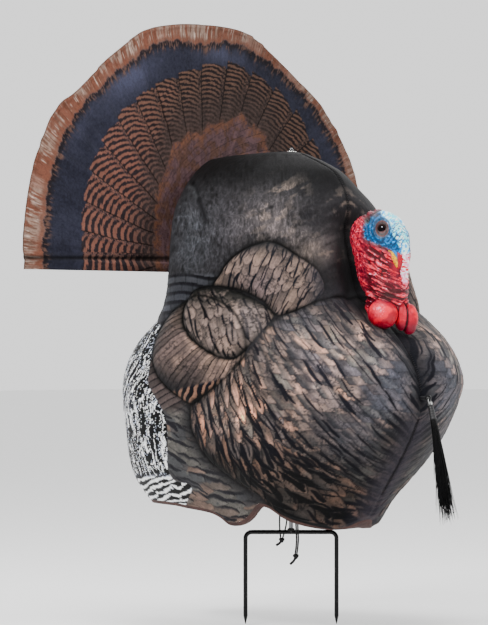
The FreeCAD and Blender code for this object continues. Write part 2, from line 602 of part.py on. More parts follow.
CORDS = {
    "tether_rear_a": [(-14.2, 20.0, 79.85), (-15.9, 20.3, 44), (-16.6, 20.0, 8), (-14.9, 20.0, -10.4)],
    "tether_rear_b": [(-4.6, 20.0, 79.85), (-5.2, 20.4, 47), (-6.4, 20.0, 13), (-12.3, 20.0, -10.4)],
    "tether_rear_tail": [(-14.2, 20.0, -14.6), (-17.6, 20.5, -18.0), (-21.6, 20.8, -20.6)],
    "tether_front_a": [(6.9, -20.0, 79.85), (6.6, -20.4, 45), (7.2, -20.0, 10), (8.0, -20.0, -12), (5.9, -20.0, -31.6)],
    "tether_front_b": [(9.9, -20.0, 79.85), (9.5, -20.4, 45), (9.9, -20.0, 10), (10.6, -20.0, -12), (8.4, -20.0, -31.6)],
    "tether_front_tail": [(6.4, -20.0, -36.4), (3.0, -20.4, -41.6), (-1.4, -20.6, -45.6)],
}
KNOTS = (((-13.5, 20.0, -12.6), 4.3), ((7.0, -20.0, -34.0), 4.5))
knots = [Part.makeSphere(r, W(*c)) for c, r in KNOTS]
for name, pts in CORDS.items():
    s, L, radii = tube_path([W(*p) for p in pts], cord_d / 2)
    v = math.pi * (cord_d / 2)**2 * L
    print("cord", name, "length", round(L, 1), "radii", radii, "volume ratio", round(s.Volume / v, 4), "valid", s.isValid())
    PARTS[name] = one(s.cut(knots[0] if "rear" in name else knots[1]), name)
PARTS["tether_knots"] = Part.makeCompound(knots)

for name, s in PARTS.items():
    s.exportStep("parts/%s.step" % name)
print(len(PARTS), "nodes written")
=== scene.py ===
import bpy
import math
import numpy as np
from mathutils import Vector, Matrix


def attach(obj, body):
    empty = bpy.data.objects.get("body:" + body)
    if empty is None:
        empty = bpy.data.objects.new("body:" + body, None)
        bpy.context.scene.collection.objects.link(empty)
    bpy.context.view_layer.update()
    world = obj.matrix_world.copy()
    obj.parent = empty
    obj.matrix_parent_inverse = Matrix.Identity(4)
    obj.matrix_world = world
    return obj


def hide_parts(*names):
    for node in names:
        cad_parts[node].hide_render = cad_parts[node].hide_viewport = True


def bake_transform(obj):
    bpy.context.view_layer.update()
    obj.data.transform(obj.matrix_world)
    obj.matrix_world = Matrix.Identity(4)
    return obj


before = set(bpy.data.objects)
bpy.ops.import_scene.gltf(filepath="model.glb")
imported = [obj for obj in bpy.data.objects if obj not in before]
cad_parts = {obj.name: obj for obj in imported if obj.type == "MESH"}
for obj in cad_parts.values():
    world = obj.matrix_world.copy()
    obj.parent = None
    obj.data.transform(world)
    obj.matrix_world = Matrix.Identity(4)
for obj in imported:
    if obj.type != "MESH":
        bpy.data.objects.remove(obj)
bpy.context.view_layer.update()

MM = 0.001
rng = np.random.default_rng(7)

# =====================================================================================
# small helpers
# =====================================================================================


def srgb(r, g, b):
    c = np.array([r, g, b], float) / 255.0
    return np.where(c <= 0.04045, c / 12.92, ((c + 0.055) / 1.055) ** 2.4)


def sstep(x, a, b):
    t = np.clip((x - a) / (b - a), 0, 1)
    return t * t * (3 - 2 * t)


def hsh(a, b=0.0, s=0.0):
    x = np.sin(np.asarray(a) * 127.1 + np.asarray(b) * 311.7 + s * 74.7) * 43758.5453
    return x - np.floor(x)


def noise2(x, y, s=0.0):
    xi, yi = np.floor(x), np.floor(y)
    xf, yf = x - xi, y - yi
    u, v = xf * xf * (3 - 2 * xf), yf * yf * (3 - 2 * yf)
    a = hsh(xi, yi, s) * (1 - u) + hsh(xi + 1, yi, s) * u
    b = hsh(xi, yi + 1, s) * (1 - u) + hsh(xi + 1, yi + 1, s) * u
    return a * (1 - v) + b * v


def fbm2(x, y, s=0.0, o=4):
    t, a, n = 0.0, 0.5, 0.0
    for k in range(o):
        t = t + a * noise2(x * 2 ** k, y * 2 ** k, s + 13.1 * k)
        n += a
        a *= 0.5
    return t / n


def noise3(x, y, z, s=0.0):
    zi = np.floor(z)
    f = z - zi
    w = f * f * (3 - 2 * f)
    return noise2(x + 17.3 * zi, y - 9.7 * zi, s) * (1 - w) + noise2(x + 17.3 * (zi + 1), y - 9.7 * (zi + 1), s) * w


def pchip(xs, ys, xq):
    xs, ys = np.asarray(xs, float), np.asarray(ys, float)
    h = np.diff(xs)
    d = np.diff(ys) / h
    m = np.zeros(len(xs))
    m[0], m[-1] = d[0], d[-1]
    for i in range(1, len(xs) - 1):
        if d[i - 1] * d[i] > 0:
            w1, w2 = 2 * h[i] + h[i - 1], h[i] + 2 * h[i - 1]
            m[i] = (w1 + w2) / (w1 / d[i - 1] + w2 / d[i])
    xq = np.clip(np.asarray(xq, float), xs[0], xs[-1])
    i = np.clip(np.searchsorted(xs, xq, side="right") - 1, 0, len(xs) - 2)
    t = (xq - xs[i]) / h[i]
    return (ys[i] * (2 * t**3 - 3 * t * t + 1) + h[i] * m[i] * (t**3 - 2 * t * t + t)
            + ys[i + 1] * (-2 * t**3 + 3 * t * t) + h[i] * m[i + 1] * (t**3 - t * t))


def smooth_poly(pts, closed=True, n=6):
    """Catmull-Rom through pts"""
    P = np.array(pts, float)
    m = len(P)
    out = []
    rngs = range(m) if closed else range(m - 1)
    for i in rngs:
        if closed:
            p0, p1, p2, p3 = P[(i - 1) % m], P[i], P[(i + 1) % m], P[(i + 2) % m]
        else:
            p0, p1, p2, p3 = P[max(i - 1, 0)], P[i], P[i + 1], P[min(i + 2, m - 1)]
        for k in range(n):
            t = k / n
            out.append(0.5 * ((2 * p1) + (-p0 + p2) * t + (2 * p0 - 5 * p1 + 4 * p2 - p3) * t * t + (-p0 + 3 * p1 - 3 * p2 + p3) * t**3))
    if not closed:
        out.append(P[-1])
    return np.array(out)


def sdf(poly, x, y):
    """signed distance to a closed outline, positive inside"""
    shp = x.shape
    x, y = x.ravel(), y.ravel()
    best = np.full(x.shape, 1e18)
    inside = np.zeros(x.shape, bool)
    n = len(poly)
    for i in range(n):
        ax_, ay_ = poly[i]
        bx_, by_ = poly[(i + 1) % n]
        dx, dy = bx_ - ax_, by_ - ay_
        L = dx * dx + dy * dy + 1e-12
        t = np.clip(((x - ax_) * dx + (y - ay_) * dy) / L, 0, 1)
        d = (x - ax_ - t * dx) ** 2 + (y - ay_ - t * dy) ** 2
        best = np.minimum(best, d)
        if dy != 0:
            c = ((ay_ > y) != (by_ > y)) & (x < (bx_ - ax_) * (y - ay_) / dy + ax_)
            inside ^= c
    r = np.sqrt(best)
    return np.where(inside, r, -r).reshape(shp)


def line_dist(pts, x, y):
    """unsigned distance to an open line"""
    best = np.full(x.shape, 1e18)
    for i in range(len(pts) - 1):
        ax_, ay_ = pts[i]
        bx_, by_ = pts[i + 1]
        dx, dy = bx_ - ax_, by_ - ay_
        t = np.clip(((x - ax_) * dx + (y - ay_) * dy) / (dx * dx + dy * dy + 1e-12), 0, 1)
        best = np.minimum(best, (x - ax_ - t * dx) ** 2 + (y - ay_ - t * dy) ** 2)
    return np.sqrt(best)


def make_mesh(name, V, F, cols=None, attrs=None, smooth=True, mat=None, body=None, rep=()):
    """V in mm; F an (n, 4) array or a list of polygons"""
    V = np.asarray(V, float) * MM
    me = bpy.data.meshes.new(name)
    if isinstance(F, np.ndarray):
        k = F.shape[1]
        me.vertices.add(len(V))
        me.vertices.foreach_set("co", V.astype(np.float32).ravel())
        me.loops.add(F.size)
        me.loops.foreach_set("vertex_index", F.astype(np.int32).ravel())
        me.polygons.add(len(F))
        me.polygons.foreach_set("loop_start", (np.arange(len(F)) * k).astype(np.int32))
        me.update(calc_edges=True)
    else:
        me.from_pydata([tuple(v) for v in V], [], F)
    me.validate(clean_customdata=False)
    if smooth:
        me.polygons.foreach_set("use_smooth", np.ones(len(me.polygons), bool))
    if cols is not None:
        a = me.attributes.new("Col", "FLOAT_COLOR", "POINT")
        c = np.ones((len(V), 4), np.float32)
        c[:, :3] = np.clip(cols, 0, 1)
        a.data.foreach_set("color", c.ravel())
    for k, v in (attrs or {}).items():
        a = me.attributes.new(k, "FLOAT", "POINT")
        a.data.foreach_set("value", np.asarray(v, np.float32).ravel())
    me.update()
    ob = bpy.data.objects.new(name, me)
    bpy.context.scene.collection.objects.link(ob)
    if mat:
        me.materials.append(mat)
    if body:
        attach(ob, body)
    if rep:
        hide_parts(*rep)
    return ob


def grid_faces(nr, nc, flip=False, base=0, wrap=False):
    r, c = np.meshgrid(np.arange(nr - 1), np.arange(nc if wrap else nc - 1), indexing="ij")
    c2 = (c + 1) % nc
    a = r * nc + c
    b = r * nc + c2
    d = (r + 1) * nc + c
    e = (r + 1) * nc + c2
    F = np.stack([a, b, e, d], -1).reshape(-1, 4) + base
    return F[:, ::-1] if flip else F


def tube_mesh(path, radii, n=10, caps=True, close=False):
    """a tube of round section along path (mm); returns V, F"""
    P = np.asarray(path, float)
    R = np.broadcast_to(np.asarray(radii, float), (len(P),))
    T = np.gradient(P, axis=0)
    if close:
        T = np.roll(P, -1, 0) - np.roll(P, 1, 0)
    T /= np.linalg.norm(T, axis=1)[:, None] + 1e-12
    up = np.array([0.31, 0.13, 0.94])
    N = np.zeros_like(P)
    n0 = np.cross(T[0], up)
    n0 /= np.linalg.norm(n0)
    N[0] = n0
    for i in range(1, len(P)):
        v = N[i - 1] - T[i] * np.dot(N[i - 1], T[i])
        N[i] = v / (np.linalg.norm(v) + 1e-12)
    B = np.cross(T, N)
    a = np.arange(n) / n * 2 * np.pi
    V = P[:, None, :] + R[:, None, None] * (N[:, None, :] * np.cos(a)[None, :, None] + B[:, None, :] * np.sin(a)[None, :, None])
    F = [tuple(f) for f in grid_faces(len(P), n, wrap=True)]
    V = V.reshape(-1, 3)
    if close:
        m = (len(P) - 1) * n
        F += [(m + k, m + (k + 1) % n, (k + 1) % n, k) for k in range(n)]
    elif caps:
        F.append(tuple(range(n))[::-1])
        m = (len(P) - 1) * n
        F.append(tuple(m + k for k in range(n)))
    return V, F


def join_parts(parts):
    """parts: list of (V, F[, cols]); returns one V, F(list), cols"""
    Vs, Fs, Cs, base = [], [], [], 0
    for p in parts:
        Vs.append(np.asarray(p[0], float))
        Fs += [tuple(int(i) + base for i in f) for f in p[1]]
        if len(p) > 2:
            Cs.append(np.broadcast_to(p[2], (len(p[0]), 3)))
        base += len(p[0])
    return np.concatenate(Vs), Fs, (np.concatenate(Cs) if Cs else None)


# =====================================================================================
# materials
# =====================================================================================


def new_mat(name):
    m = bpy.data.materials.new(name)
    m.use_nodes = True
    nt = m.node_tree
    nt.nodes.clear()
    out = nt.nodes.new("ShaderNodeOutputMaterial")
    bs = nt.nodes.new("ShaderNodeBsdfPrincipled")
    nt.links.new(bs.outputs["BSDF"], out.inputs["Surface"])
    return m, nt, bs


def tex_noise(nt, scale, detail=4.0, rough=0.6, co="Object", stretch=None):
    tc = nt.nodes.new("ShaderNodeTexCoord")
    n = nt.nodes.new("ShaderNodeTexNoise")
    n.inputs["Scale"].default_value = scale
    n.inputs["Detail"].default_value = detail
    n.inputs["Roughness"].default_value = rough
    src = tc.outputs[co]
    if stretch:
        mp = nt.nodes.new("ShaderNodeMapping")
        mp.inputs["Scale"].default_value = stretch
        nt.links.new(src, mp.inputs["Vector"])
        src = mp.outputs["Vector"]
    nt.links.new(src, n.inputs["Vector"])
    return n.outputs["Fac"]


def ramp(nt, fac, stops):
    r = nt.nodes.new("ShaderNodeValToRGB")
    cr = r.color_ramp
    while len(cr.elements) < len(stops):
        cr.elements.new(0.5)
    for e, (p, c) in zip(cr.elements, stops):
        e.position = p
        e.color = (*c, 1) if len(c) == 3 else c
    nt.links.new(fac, r.inputs["Fac"])
    return r.outputs["Color"]


def bump(nt, bs, height, strength=0.3, dist=0.001):
    b = nt.nodes.new("ShaderNodeBump")
    b.inputs["Strength"].default_value = strength
    b.inputs["Distance"].default_value = dist
    nt.links.new(height, b.inputs["Height"])
    prev = bs.inputs["Normal"].links[0].from_socket if bs.inputs["Normal"].is_linked else None
    if prev:
        nt.links.new(prev, b.inputs["Normal"])
    nt.links.new(b.outputs["Normal"], bs.inputs["Normal"])


def mixrgb(nt, mode, fac, a, b):
    m = nt.nodes.new("ShaderNodeMix")
    m.data_type = "RGBA"
    m.blend_type = mode
    m.clamp_result = True
    fi, ai, bi = m.inputs[0], m.inputs[6], m.inputs[7]
    for sock, v in ((fi, fac), (ai, a), (bi, b)):
        if hasattr(v, "is_output"):
            nt.links.new(v, sock)
        elif isinstance(v, (int, float)):
            sock.default_value = v
        else:
            sock.default_value = (*v, 1)
    return m.outputs[2]


def painted_cloth(name, rough=0.72, grain=0.25, weave=0.25, sheen=0.25, spec=0.3, fine=900.0, bumpd=0.0004):
    """vertex-painted printed cloth with a fine grain and weave"""
    m, nt, bs = new_mat(name)
    at = nt.nodes.new("ShaderNodeAttribute")
    at.attribute_name = "Col"
    n1 = tex_noise(nt, 260.0, 5.0, 0.7)
    n2 = tex_noise(nt, fine, 2.0, 0.6)
    g1 = ramp(nt, n1, [(0.25, (1 - grain,) * 3), (0.5, (1.0,) * 3), (0.78, (1 + grain * 0.9,) * 3)])
    c = mixrgb(nt, "MULTIPLY", 1.0, at.outputs["Color"], g1)
    g2 = ramp(nt, n2, [(0.3, (0.88,) * 3), (0.7, (1.12,) * 3)])
    c = mixrgb(nt, "MULTIPLY", 1.0, c, g2)
    nt.links.new(c, bs.inputs["Base Color"])
    bs.inputs["Roughness"].default_value = rough
    bs.inputs["Specular IOR Level"].default_value = spec
    if "Sheen Weight" in bs.inputs:
        bs.inputs["Sheen Weight"].default_value = sheen
        bs.inputs["Sheen Roughness"].default_value = 0.5
    bump(nt, bs, n2, weave, bumpd)
    bump(nt, bs, n1, 0.35, 0.0008)
    return m


def plain_mat(name, col, rough=0.5, metal=0.0, spec=0.5, noise_scale=120.0, vary=0.15, bump_s=0.1, bump_d=0.0003, coat=0.0):
    m, nt, bs = new_mat(name)
    n = tex_noise(nt, noise_scale, 5.0, 0.65)
    c = ramp(nt, n, [(0.3, tuple(np.clip(np.array(col) * (1 - vary), 0, 1))), (0.7, tuple(np.clip(np.array(col) * (1 + vary), 0, 1)))])
    nt.links.new(c, bs.inputs["Base Color"])
    rr = ramp(nt, n, [(0.3, (max(0.02, rough - 0.06),) * 3), (0.75, (min(1, rough + 0.08),) * 3)])
    nt.links.new(rr, bs.inputs["Roughness"])
    bs.inputs["Metallic"].default_value = metal
    bs.inputs["Specular IOR Level"].default_value = spec
    if coat:
        bs.inputs["Coat Weight"].default_value = coat
        bs.inputs["Coat Roughness"].default_value = 0.15
    bump(nt, bs, n, bump_s, bump_d)
    return m


def assign(node, mat):
    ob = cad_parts[node]
    ob.data.materials.clear()
    ob.data.materials.append(mat)


# =====================================================================================
# camera, light and floor
# =====================================================================================
sc = bpy.context.scene
cam_d = bpy.data.cameras.new("Camera")
cam = bpy.data.objects.new("Camera", cam_d)
sc.collection.objects.link(cam)
sc.camera = cam
K, D0, U0, VH, V0 = 1.45, 5000.0, 291.0, 345.0, 532.0
zc = (V0 - VH) * K
R2 = math.sqrt(0.5)
# the camera stands level at azimuth -45, D0 from the post's axis; the picture is 488 x 625
cx, cy = -R2 * D0, -R2 * D0
# shift the aim: the picture's centre column is 244, the post is at column 291
right = Vector((R2, -R2, 0))
off = (244.0 - U0) * K
pos = Vector((cx, cy, zc))
cam.location = pos * MM
cam.rotation_euler = (math.radians(90), 0, math.radians(-45))
cam_d.sensor_fit = "VERTICAL"
cam_d.sensor_height = 24.0
# focal length: K mm per pixel at D0, 625 px high
cam_d.lens = 24.0 * D0 / (625.0 * K)
cam_d.shift_x = (244.0 - U0) / 625.0
cam_d.shift_y = -(312.5 - VH) / 625.0
cam_d.clip_end = 50


def project(P):
    """photo column and row of points in mm"""
    x, y, z = P[..., 0], P[..., 1], P[..., 2]
    s, dep = (x - y) * R2, (x + y) * R2
    f = D0 / (D0 + dep) / K
    return U0 + s * f, VH - (z - zc) * f

# =====================================================================================
# body shell: the same section table as the CAD, with quilted relief and painted plumage
# =====================================================================================
TAB = np.array([
 (-30, 84, 96, 190, 1.8, 2.9), (5, 98, 136, 216, 1.7, 2.9), (25, 110, 156, 229, 1.7, 2.9), (50, 128, 173, 243, 1.7, 2.9),
 (80, 160, 196, 248, 1.75, 2.8), (110, 184, 218, 244, 1.85, 2.7), (150, 200, 243, 241, 2.0, 2.6), (190, 206, 258, 244, 2.1, 2.6),
 (220, 207, 254, 241, 2.2, 2.6), (250, 204, 240, 228, 2.2, 2.6), (275, 197, 220, 205, 2.2, 2.7), (300, 187, 193, 172, 2.2, 2.8),
 (325, 175, 172, 150, 2.2, 3.0), (350, 166, 160, 146, 2.2, 3.2), (390, 157, 149, 148, 2.2, 3.4), (430, 148, 137, 150, 2.1, 3.6),
 (470, 128, 120, 157, 1.9, 3.8), (500, 101, 105, 161, 1.6, 3.8), (520, 78, 88, 163, 1.5, 3.6), (534, 55, 60, 163, 1.5, 3.4),
 (543, 36, 36, 160, 1.6, 3.2), (549, 18, 18, 120, 1.9, 3.0), (552, 3, 3, 9, 2.0, 3.0)], float)
ZL = np.arange(-30, 552.01, 0.5)
LA, LB, LR, LNF, LNR = [pchip(TAB[:, 0], TAB[:, k], ZL) for k in range(1, 6)]
RIM = [(-190, 30), (-170, 27), (-156, 23), (-140, 13), (-123, 9), (-105, 12), (-90, 17), (-78, 23), (-70, 31), (-62, 40),
       (-52, 42), (-40, 35), (-25, 24), (-5, 15), (12, 12), (22, 13), (32, 21), (45, 28), (60, 31), (100, 35), (130, 38),
       (200, 39), (270, 39)]
ARCH = [(-60, 56), (40, 56), (150, 58), (240, 60), (300, 68), (340, 76), (400, 78), (440, 75), (470, 65), (490, 49), (501, 28), (505, 0)]
CZ, FOAM, TAPE = 230.0, 6.0, 5.0


def rim_z(y):
    return pchip([p[0] for p in RIM], [p[1] for p in RIM], y)


def arch_w(z):
    return np.where(z >= 505 + TAPE, 0.0, pchip([p[0] for p in ARCH], [p[1] for p in ARCH], np.clip(z - TAPE * sstep(z, 430, 505), -60, 505)) + TAPE * (z < 505 + TAPE))


def bumpf(z, z0, z1, w):
    return 1 / (1 + np.exp(-np.clip((z - z0) / w, -60, 60))) / (1 + np.exp(-np.clip((z1 - z) / w, -60, 60)))


def gform(x, y, z):
    a, bf, br, nf, nr = [np.interp(z, ZL, c) for c in (LA, LB, LR, LNF, LNR)]
    bf = bf - 30.0 * bumpf(z, 322, 452, 9.0) * np.exp(-(x / 40.0) ** 2) + 15.0 * bumpf(z, 200, 300, 9.0) * (0.9 - np.exp(-(x / 24.0) ** 2))
    b, n = np.where(y < 0, bf, br), np.where(y < 0, nf, nr)
    return np.where(z > 552, 9.0, (np.abs(x) / a) ** n + (np.abs(y) / b) ** n)


def surf(th, ph):
    up = ph >= 0
    dx = -np.sin(th) * np.where(up, np.cos(ph), 1.0)
    dy = -np.cos(th) * np.where(up, np.cos(ph), 1.0)
    dz = np.where(up, np.sin(ph), 0.0)
    z0 = np.where(up, CZ, CZ + 230.0 * ph)
    lo, hi = np.full(np.shape(th), 20.0), np.full(np.shape(th), 430.0)
    for _ in range(26):
        m = (lo + hi) / 2
        ins = gform(m * dx, m * dy, z0 + m * dz) < 1
        lo, hi = np.where(ins, m, lo), np.where(ins, hi, m)
    return np.stack([lo * dx, lo * dy, z0 + lo * dz], -1)


NI, NJ = 430, 450
PH1 = math.radians(88.9)


def ph_low(th):
    z = np.full(np.shape(th), 30.0)
    for _ in range(8):
        P = surf(th, (z - CZ) / 230.0)
        z = 0.5 * z + 0.5 * (rim_z(P[..., 1]) + TAPE - 4.0 * sstep(P[..., 1], -95, -130))
    return (z - CZ) / 230.0


THT = np.linspace(0, np.pi, 400)
PLT = ph_low(THT)
s_ = np.linspace(0, 1, NJ)
lo, hi = np.full(NJ, np.pi / 2), np.full(NJ, np.pi)
for _ in range(40):
    m = (lo + hi) / 2
    pl = np.interp(m, THT, PLT)
    P = surf(m, pl + s_ * (PH1 - pl))
    far = np.abs(P[:, 0]) > arch_w(P[:, 2])
    lo, hi = np.where(far, m, lo), np.where(far, hi, m)
TH_END = np.where(hi > np.pi - 1e-4, np.pi, lo)
t_ = np.linspace(0, 1, NI)
tt = t_ * (0.72 + 0.28 * t_)          # denser near the front seam
TH = TH_END[:, None] * tt[None, :]
PL = np.interp(TH, THT, PLT)
PH = PL + s_[:, None] * (PH1 - PL)
P0 = surf(TH, PH)
P0[:, 0, 0] = 0.0
P0[TH_END == np.pi, -1, 0] = 0.0


def grid_normals(P):
    du = np.gradient(P, axis=1)
    dv = np.gradient(P, axis=0)
    n = np.cross(dv, du)
    n /= np.linalg.norm(n, axis=-1)[..., None] + 1e-12
    return n


N0 = grid_normals(P0)
# outward on the right half means away from the post's axis
if np.mean((P0 * np.array([1, 1, 0]) * N0).sum(-1)) < 0:
    N0 = -N0
    FLIP = True
else:
    FLIP = False
# unrolled picture coordinates, which follow the picture where the cloth faces it and go on at a steady rate where it turns away
U, Vv = project(P0)
dS = np.linalg.norm(np.diff(P0, axis=1), axis=-1)
du = np.minimum(np.diff(U, axis=1), -0.38 * dS / K)
UU = U[:, :1] + np.concatenate([np.zeros((NJ, 1)), np.cumsum(du, axis=1)], 1)
dL = np.linalg.norm(np.diff(P0, axis=0), axis=-1)
dv = np.minimum(np.diff(Vv, axis=0), -0.42 * dL / K)
ref = int(np.argmin(np.abs(np.median(PH, axis=1))))
cv = np.concatenate([np.zeros((1, NI)), np.cumsum(dv, axis=0)], 0)
VV = Vv[ref][None, :] + cv - cv[ref][None, :]

# ---- quilted panels, as outlines in picture units -----------------------------------
L1 = smooth_poly([(213.8, 286), (220, 275), (230, 260), (245, 248.8), (260, 243), (270, 241.8), (282.5, 246), (295, 254), (307, 262), (317, 270),
                  (323, 281), (324, 291), (317, 299), (305, 306), (290, 312.5), (275, 314.5), (262, 300), (240, 290), (225, 287)])
L2 = smooth_poly([(195, 291), (207.5, 287), (220, 286.5), (232.5, 289.5), (250, 297), (264, 306), (274, 315), (262, 331), (245, 350), (232.5, 358.5),
                  (220, 358), (205, 350), (192.5, 340), (185, 328), (183.3, 315), (187.5, 302)])
L3 = smooth_poly([(172, 312), (160, 329), (153.5, 343), (151, 358), (155, 373), (164, 385), (177, 396), (192, 404), (207.5, 392), (222, 381), (245, 352),
                  (240, 320), (215, 300), (190, 300)])
L4 = smooth_poly([(192, 403.5), (190.5, 414), (190.5, 425), (195, 438), (201, 449), (212, 463), (227, 475), (245, 488), (266, 503), (300, 545), (380, 600),
                  (470, 560), (520, 400), (470, 300), (420, 290), (385, 297), (365, 298), (342, 296), (326, 299), (302, 306.5), (282, 315), (268, 326),
                  (247, 352), (228, 372), (208, 392)])
PB = smooth_poly([(161, 327), (155, 342), (150, 359), (148, 382), (155, 397), (164, 414), (167, 432), (167, 450), (168, 469), (175, 481), (191, 486), (186, 505),
                  (170, 560), (20, 560), (20, 300), (120, 300), (150, 318)])
d1, d2, d3, d4, dp = [sdf(p, UU, VV) for p in (L1, L2, L3, L4, PB)]
# the flank panel below the wing, between the primaries and the belly
H = np.zeros_like(UU)


def lay_on(H, d, h, w_in, w_out=6.0, groove=1.6, gw=1.6):
    out = H * (1 - np.exp(-(np.maximum(-d, 0) / w_out) ** 1.5)) - groove * np.exp(-np.maximum(-d, 0) / gw)
    ins = -groove + (h + groove) * (1 - np.exp(-np.maximum(d, 0) / w_in))
    return np.where(d > 0, ins, out)


# broad lie of the wing and the flank under the panels
H += 5.0 * np.exp(-(((UU - 205) / 60) ** 2 + ((VV - 335) / 45) ** 2))
H = lay_on(H, dp, 1.5, 6.0, 4.0, 0.8)
H = lay_on(H, d4, 0.4 + 7.0 * np.exp(-np.maximum(d4, 0) / 34.0), 12.0, 12.0, 1.6, 3.0)
# the covert and the secondaries run out softly towards the belly
M2R = sstep(UU, 238, 256) * sstep(VV, 312, 326)
M3R = np.exp(-(((UU - 226) / 22) ** 2 + ((VV - 374) / 16) ** 2))
H = lay_on(H, d3, 7.0 * (1 - 0.5 * M3R), 7.0 * (1 + M3R), 5.0 * (1 - 0.5 * M3R), 1.6 * (1 - 0.8 * M3R), 2.0)
fade1 = 1.0 + 3.0 * sstep(UU, 292, 322)
H = lay_on(H, d1, 10.0, 5.5 * fade1, 6.0, 0.7, 1.8)
H = lay_on(H, d2, 12.5 * (1 - 0.6 * M2R), 7.5 * (1 + 1.2 * M2R), 7.0 * (1 - 0.6 * M2R), 0.7 * (1 - M2R), 1.8)
EDGE = {"l1": d1, "l2": d2, "l3": d3, "l4": d4}

# ---- painted plumage ------------------------------------------------------------------
wu = 5.0 * (fbm2(UU / 26, VV / 26, 3.0) - 0.5)
wv = 5.0 * (fbm2(UU / 26, VV / 26, 9.0) - 0.5)
X, Y = UU + wu, VV + wv
fine = fbm2(UU / 2.2, VV / 2.2, 21.0, 4)
mid = fbm2(UU / 9.0, VV / 9.0, 5.0, 4)
big = fbm2(UU / 34.0, VV / 34.0, 11.0, 3)


def mixc(a, b, w):
    return a * (1 - w[..., None]) + b * w[..., None]


def tiles(p, q, lp, wq, seed, streak=0.30, gap=0.10, wob=0.8, taper=True, jag=0.25):
    """brick-like rows of long feathers: p along the streaks, q across. Returns a per-tile random, black-streak share, end-edge share, relief"""
    qw = q / wq + 0.10 * (fbm2(p / lp * 2.2, q / wq * 1.3, seed + 4) - 0.5) * wob * 4
    r = np.floor(qw)
    fq = qw - r
    sh = hsh(r, 3.7, seed) + 0.35 * (noise2(p / lp * 0.7, r * 1.7, seed + 2) - 0.5)
    pw = p / lp + sh
    c = np.floor(pw)
    fp = pw - c
    rnd = hsh(r, c, seed + 1)
    rnd2 = hsh(r, c, seed + 6)
    wid = streak * (0.55 + 0.9 * rnd2)
    if taper:
        wid = wid * (0.35 + 1.0 * np.sin(np.pi * np.clip(fp * 0.92 + 0.06, 0, 1)) ** 0.8)
    edge = fq + 0.05 * (hsh(np.floor(p / 1.6), r, seed + 9) - 0.5) * jag * 4
    st = 1 - sstep(edge, wid * 0.72, wid * 1.05 + 0.04)
    end = 1 - sstep(np.minimum(fp, 1 - fp) * lp, gap * 6, gap * 6 + 1.1)
    line = 1 - sstep(np.abs(fq - 0.98) * wq, 0.2, 1.1)
    rel = fq * 0.9 + 0.35 * np.sin(np.pi * np.clip(fp, 0, 1))
    return rnd, st, end, line, rel, fp, fq


# Colours are given as they should look under the studio light. The film curve is then undone to get the paint's own colour.
AGX_IN = np.array([[0.842479, 0.0784336, 0.0792237], [0.0423282, 0.8784686, 0.0791661], [0.0423757, 0.0784336, 0.879143]])
AGX_OUT = np.linalg.inv(AGX_IN)
xs_ = np.linspace(0.0, 1.0, 400)
cur_ = 15.5 * xs_ ** 6 - 40.14 * xs_ ** 5 + 31.96 * xs_ ** 4 - 6.868 * xs_ ** 3 + 0.4298 * xs_ ** 2 + 0.1191 * xs_ - 0.00232
cur_ = np.maximum.accumulate(cur_)


def to_paint(t, light=0.95):
    """paint colour (linear) that looks like display colour t under this much light"""
    c = np.clip(np.asarray(t, float) @ AGX_IN.T, 0.004, 0.93)
    x = np.interp(c, cur_, xs_)
    v = (2.0 ** (x * 16.5 - 12.47393)) @ AGX_OUT.T
    return np.clip(v / light, 0.0015, 0.88)


def tone(r, g, b):
    return np.array([r, g, b]) / 255.0


def shingles(p, q, L, W, seed, over=1.9, tip=0.55, blunt=2.0):
    """overlapping feathers: p along them, q across, both in picture units; L and W are their pitches.
    Returns a random id, share from root to tip, share across (-1..1) and the distance to the edge"""
    qi = np.round(q / W)
    best = np.full(np.shape(q), -1.0)
    rid, ss, tt_, ed = [np.zeros(np.shape(q)) for _ in range(4)]
    for dr in (-1, 0, 1):
        r = qi + dr
        off = 0.5 * (r % 2) + 0.30 * (hsh(r, 1.0, seed) - 0.5)
        for dc in (0, 1, 2, 3):
            c = np.floor(p / L - off) - dc + 1
            j1 = hsh(r, c, seed + 1)
            j2 = hsh(r, c, seed + 2)
            p0 = (c + off + 0.34 * (j1 - 0.5)) * L
            ln = L * over * (0.85 + 0.3 * j2)
            s = (p - p0) / ln
            qc = (r + 0.26 * (j2 - 0.5)) * W
            w = W * 0.66 * (1 - np.clip((s - tip) / (1 - tip), 0, 1) ** blunt) ** 0.75 + 1e-6
            t = (q - qc) / w
            hit = (s > 0) & (s < 1) & (np.abs(t) < 1) & (p - p0 > best)
            best = np.where(hit, p - p0, best)
            rid = np.where(hit, hsh(r, c, seed + 5), rid)
            ss = np.where(hit, s, ss)
            tt_ = np.where(hit, t, tt_)
            ed = np.where(hit, np.minimum((1 - np.abs(t)) * w, (1 - s) * ln * 0.6), ed)
    return rid, ss, tt_, ed


def long_streaks(p, q, L, W, seed, width=1.3, share=0.6):
    """tapered brush strokes along p"""
    out = np.zeros(np.shape(q))
    qi = np.floor(q / W)
    for dr in (-1, 0, 1):
        r = qi + dr
        off = hsh(r, 2.0, seed)
        c = np.floor(p / L + off)
        j = hsh(r, c, seed + 1)
        j2 = hsh(r, c, seed + 2)
        s = p / L + off - c
        s = (s - 0.10 * j2) / (0.62 + 0.28 * j2)
        qc = (r + 0.5 + 0.7 * (j2 - 0.5)) * W + 1.4 * np.sin(s * 3.0 + 6 * j)
        w = width * (0.5 + 1.0 * hsh(r, c, seed + 3)) * np.sqrt(np.clip(s, 0, 1)) * np.clip(1 - s, 0, 1) ** 0.35 * 1.5
        a = (1 - sstep(np.abs(q - qc), w * 0.75, w * 1.15 + 0.35)) * (s > 0) * (s < 1) * (j < share) * (w > 0.12)
        out = np.maximum(out, a)
    return out


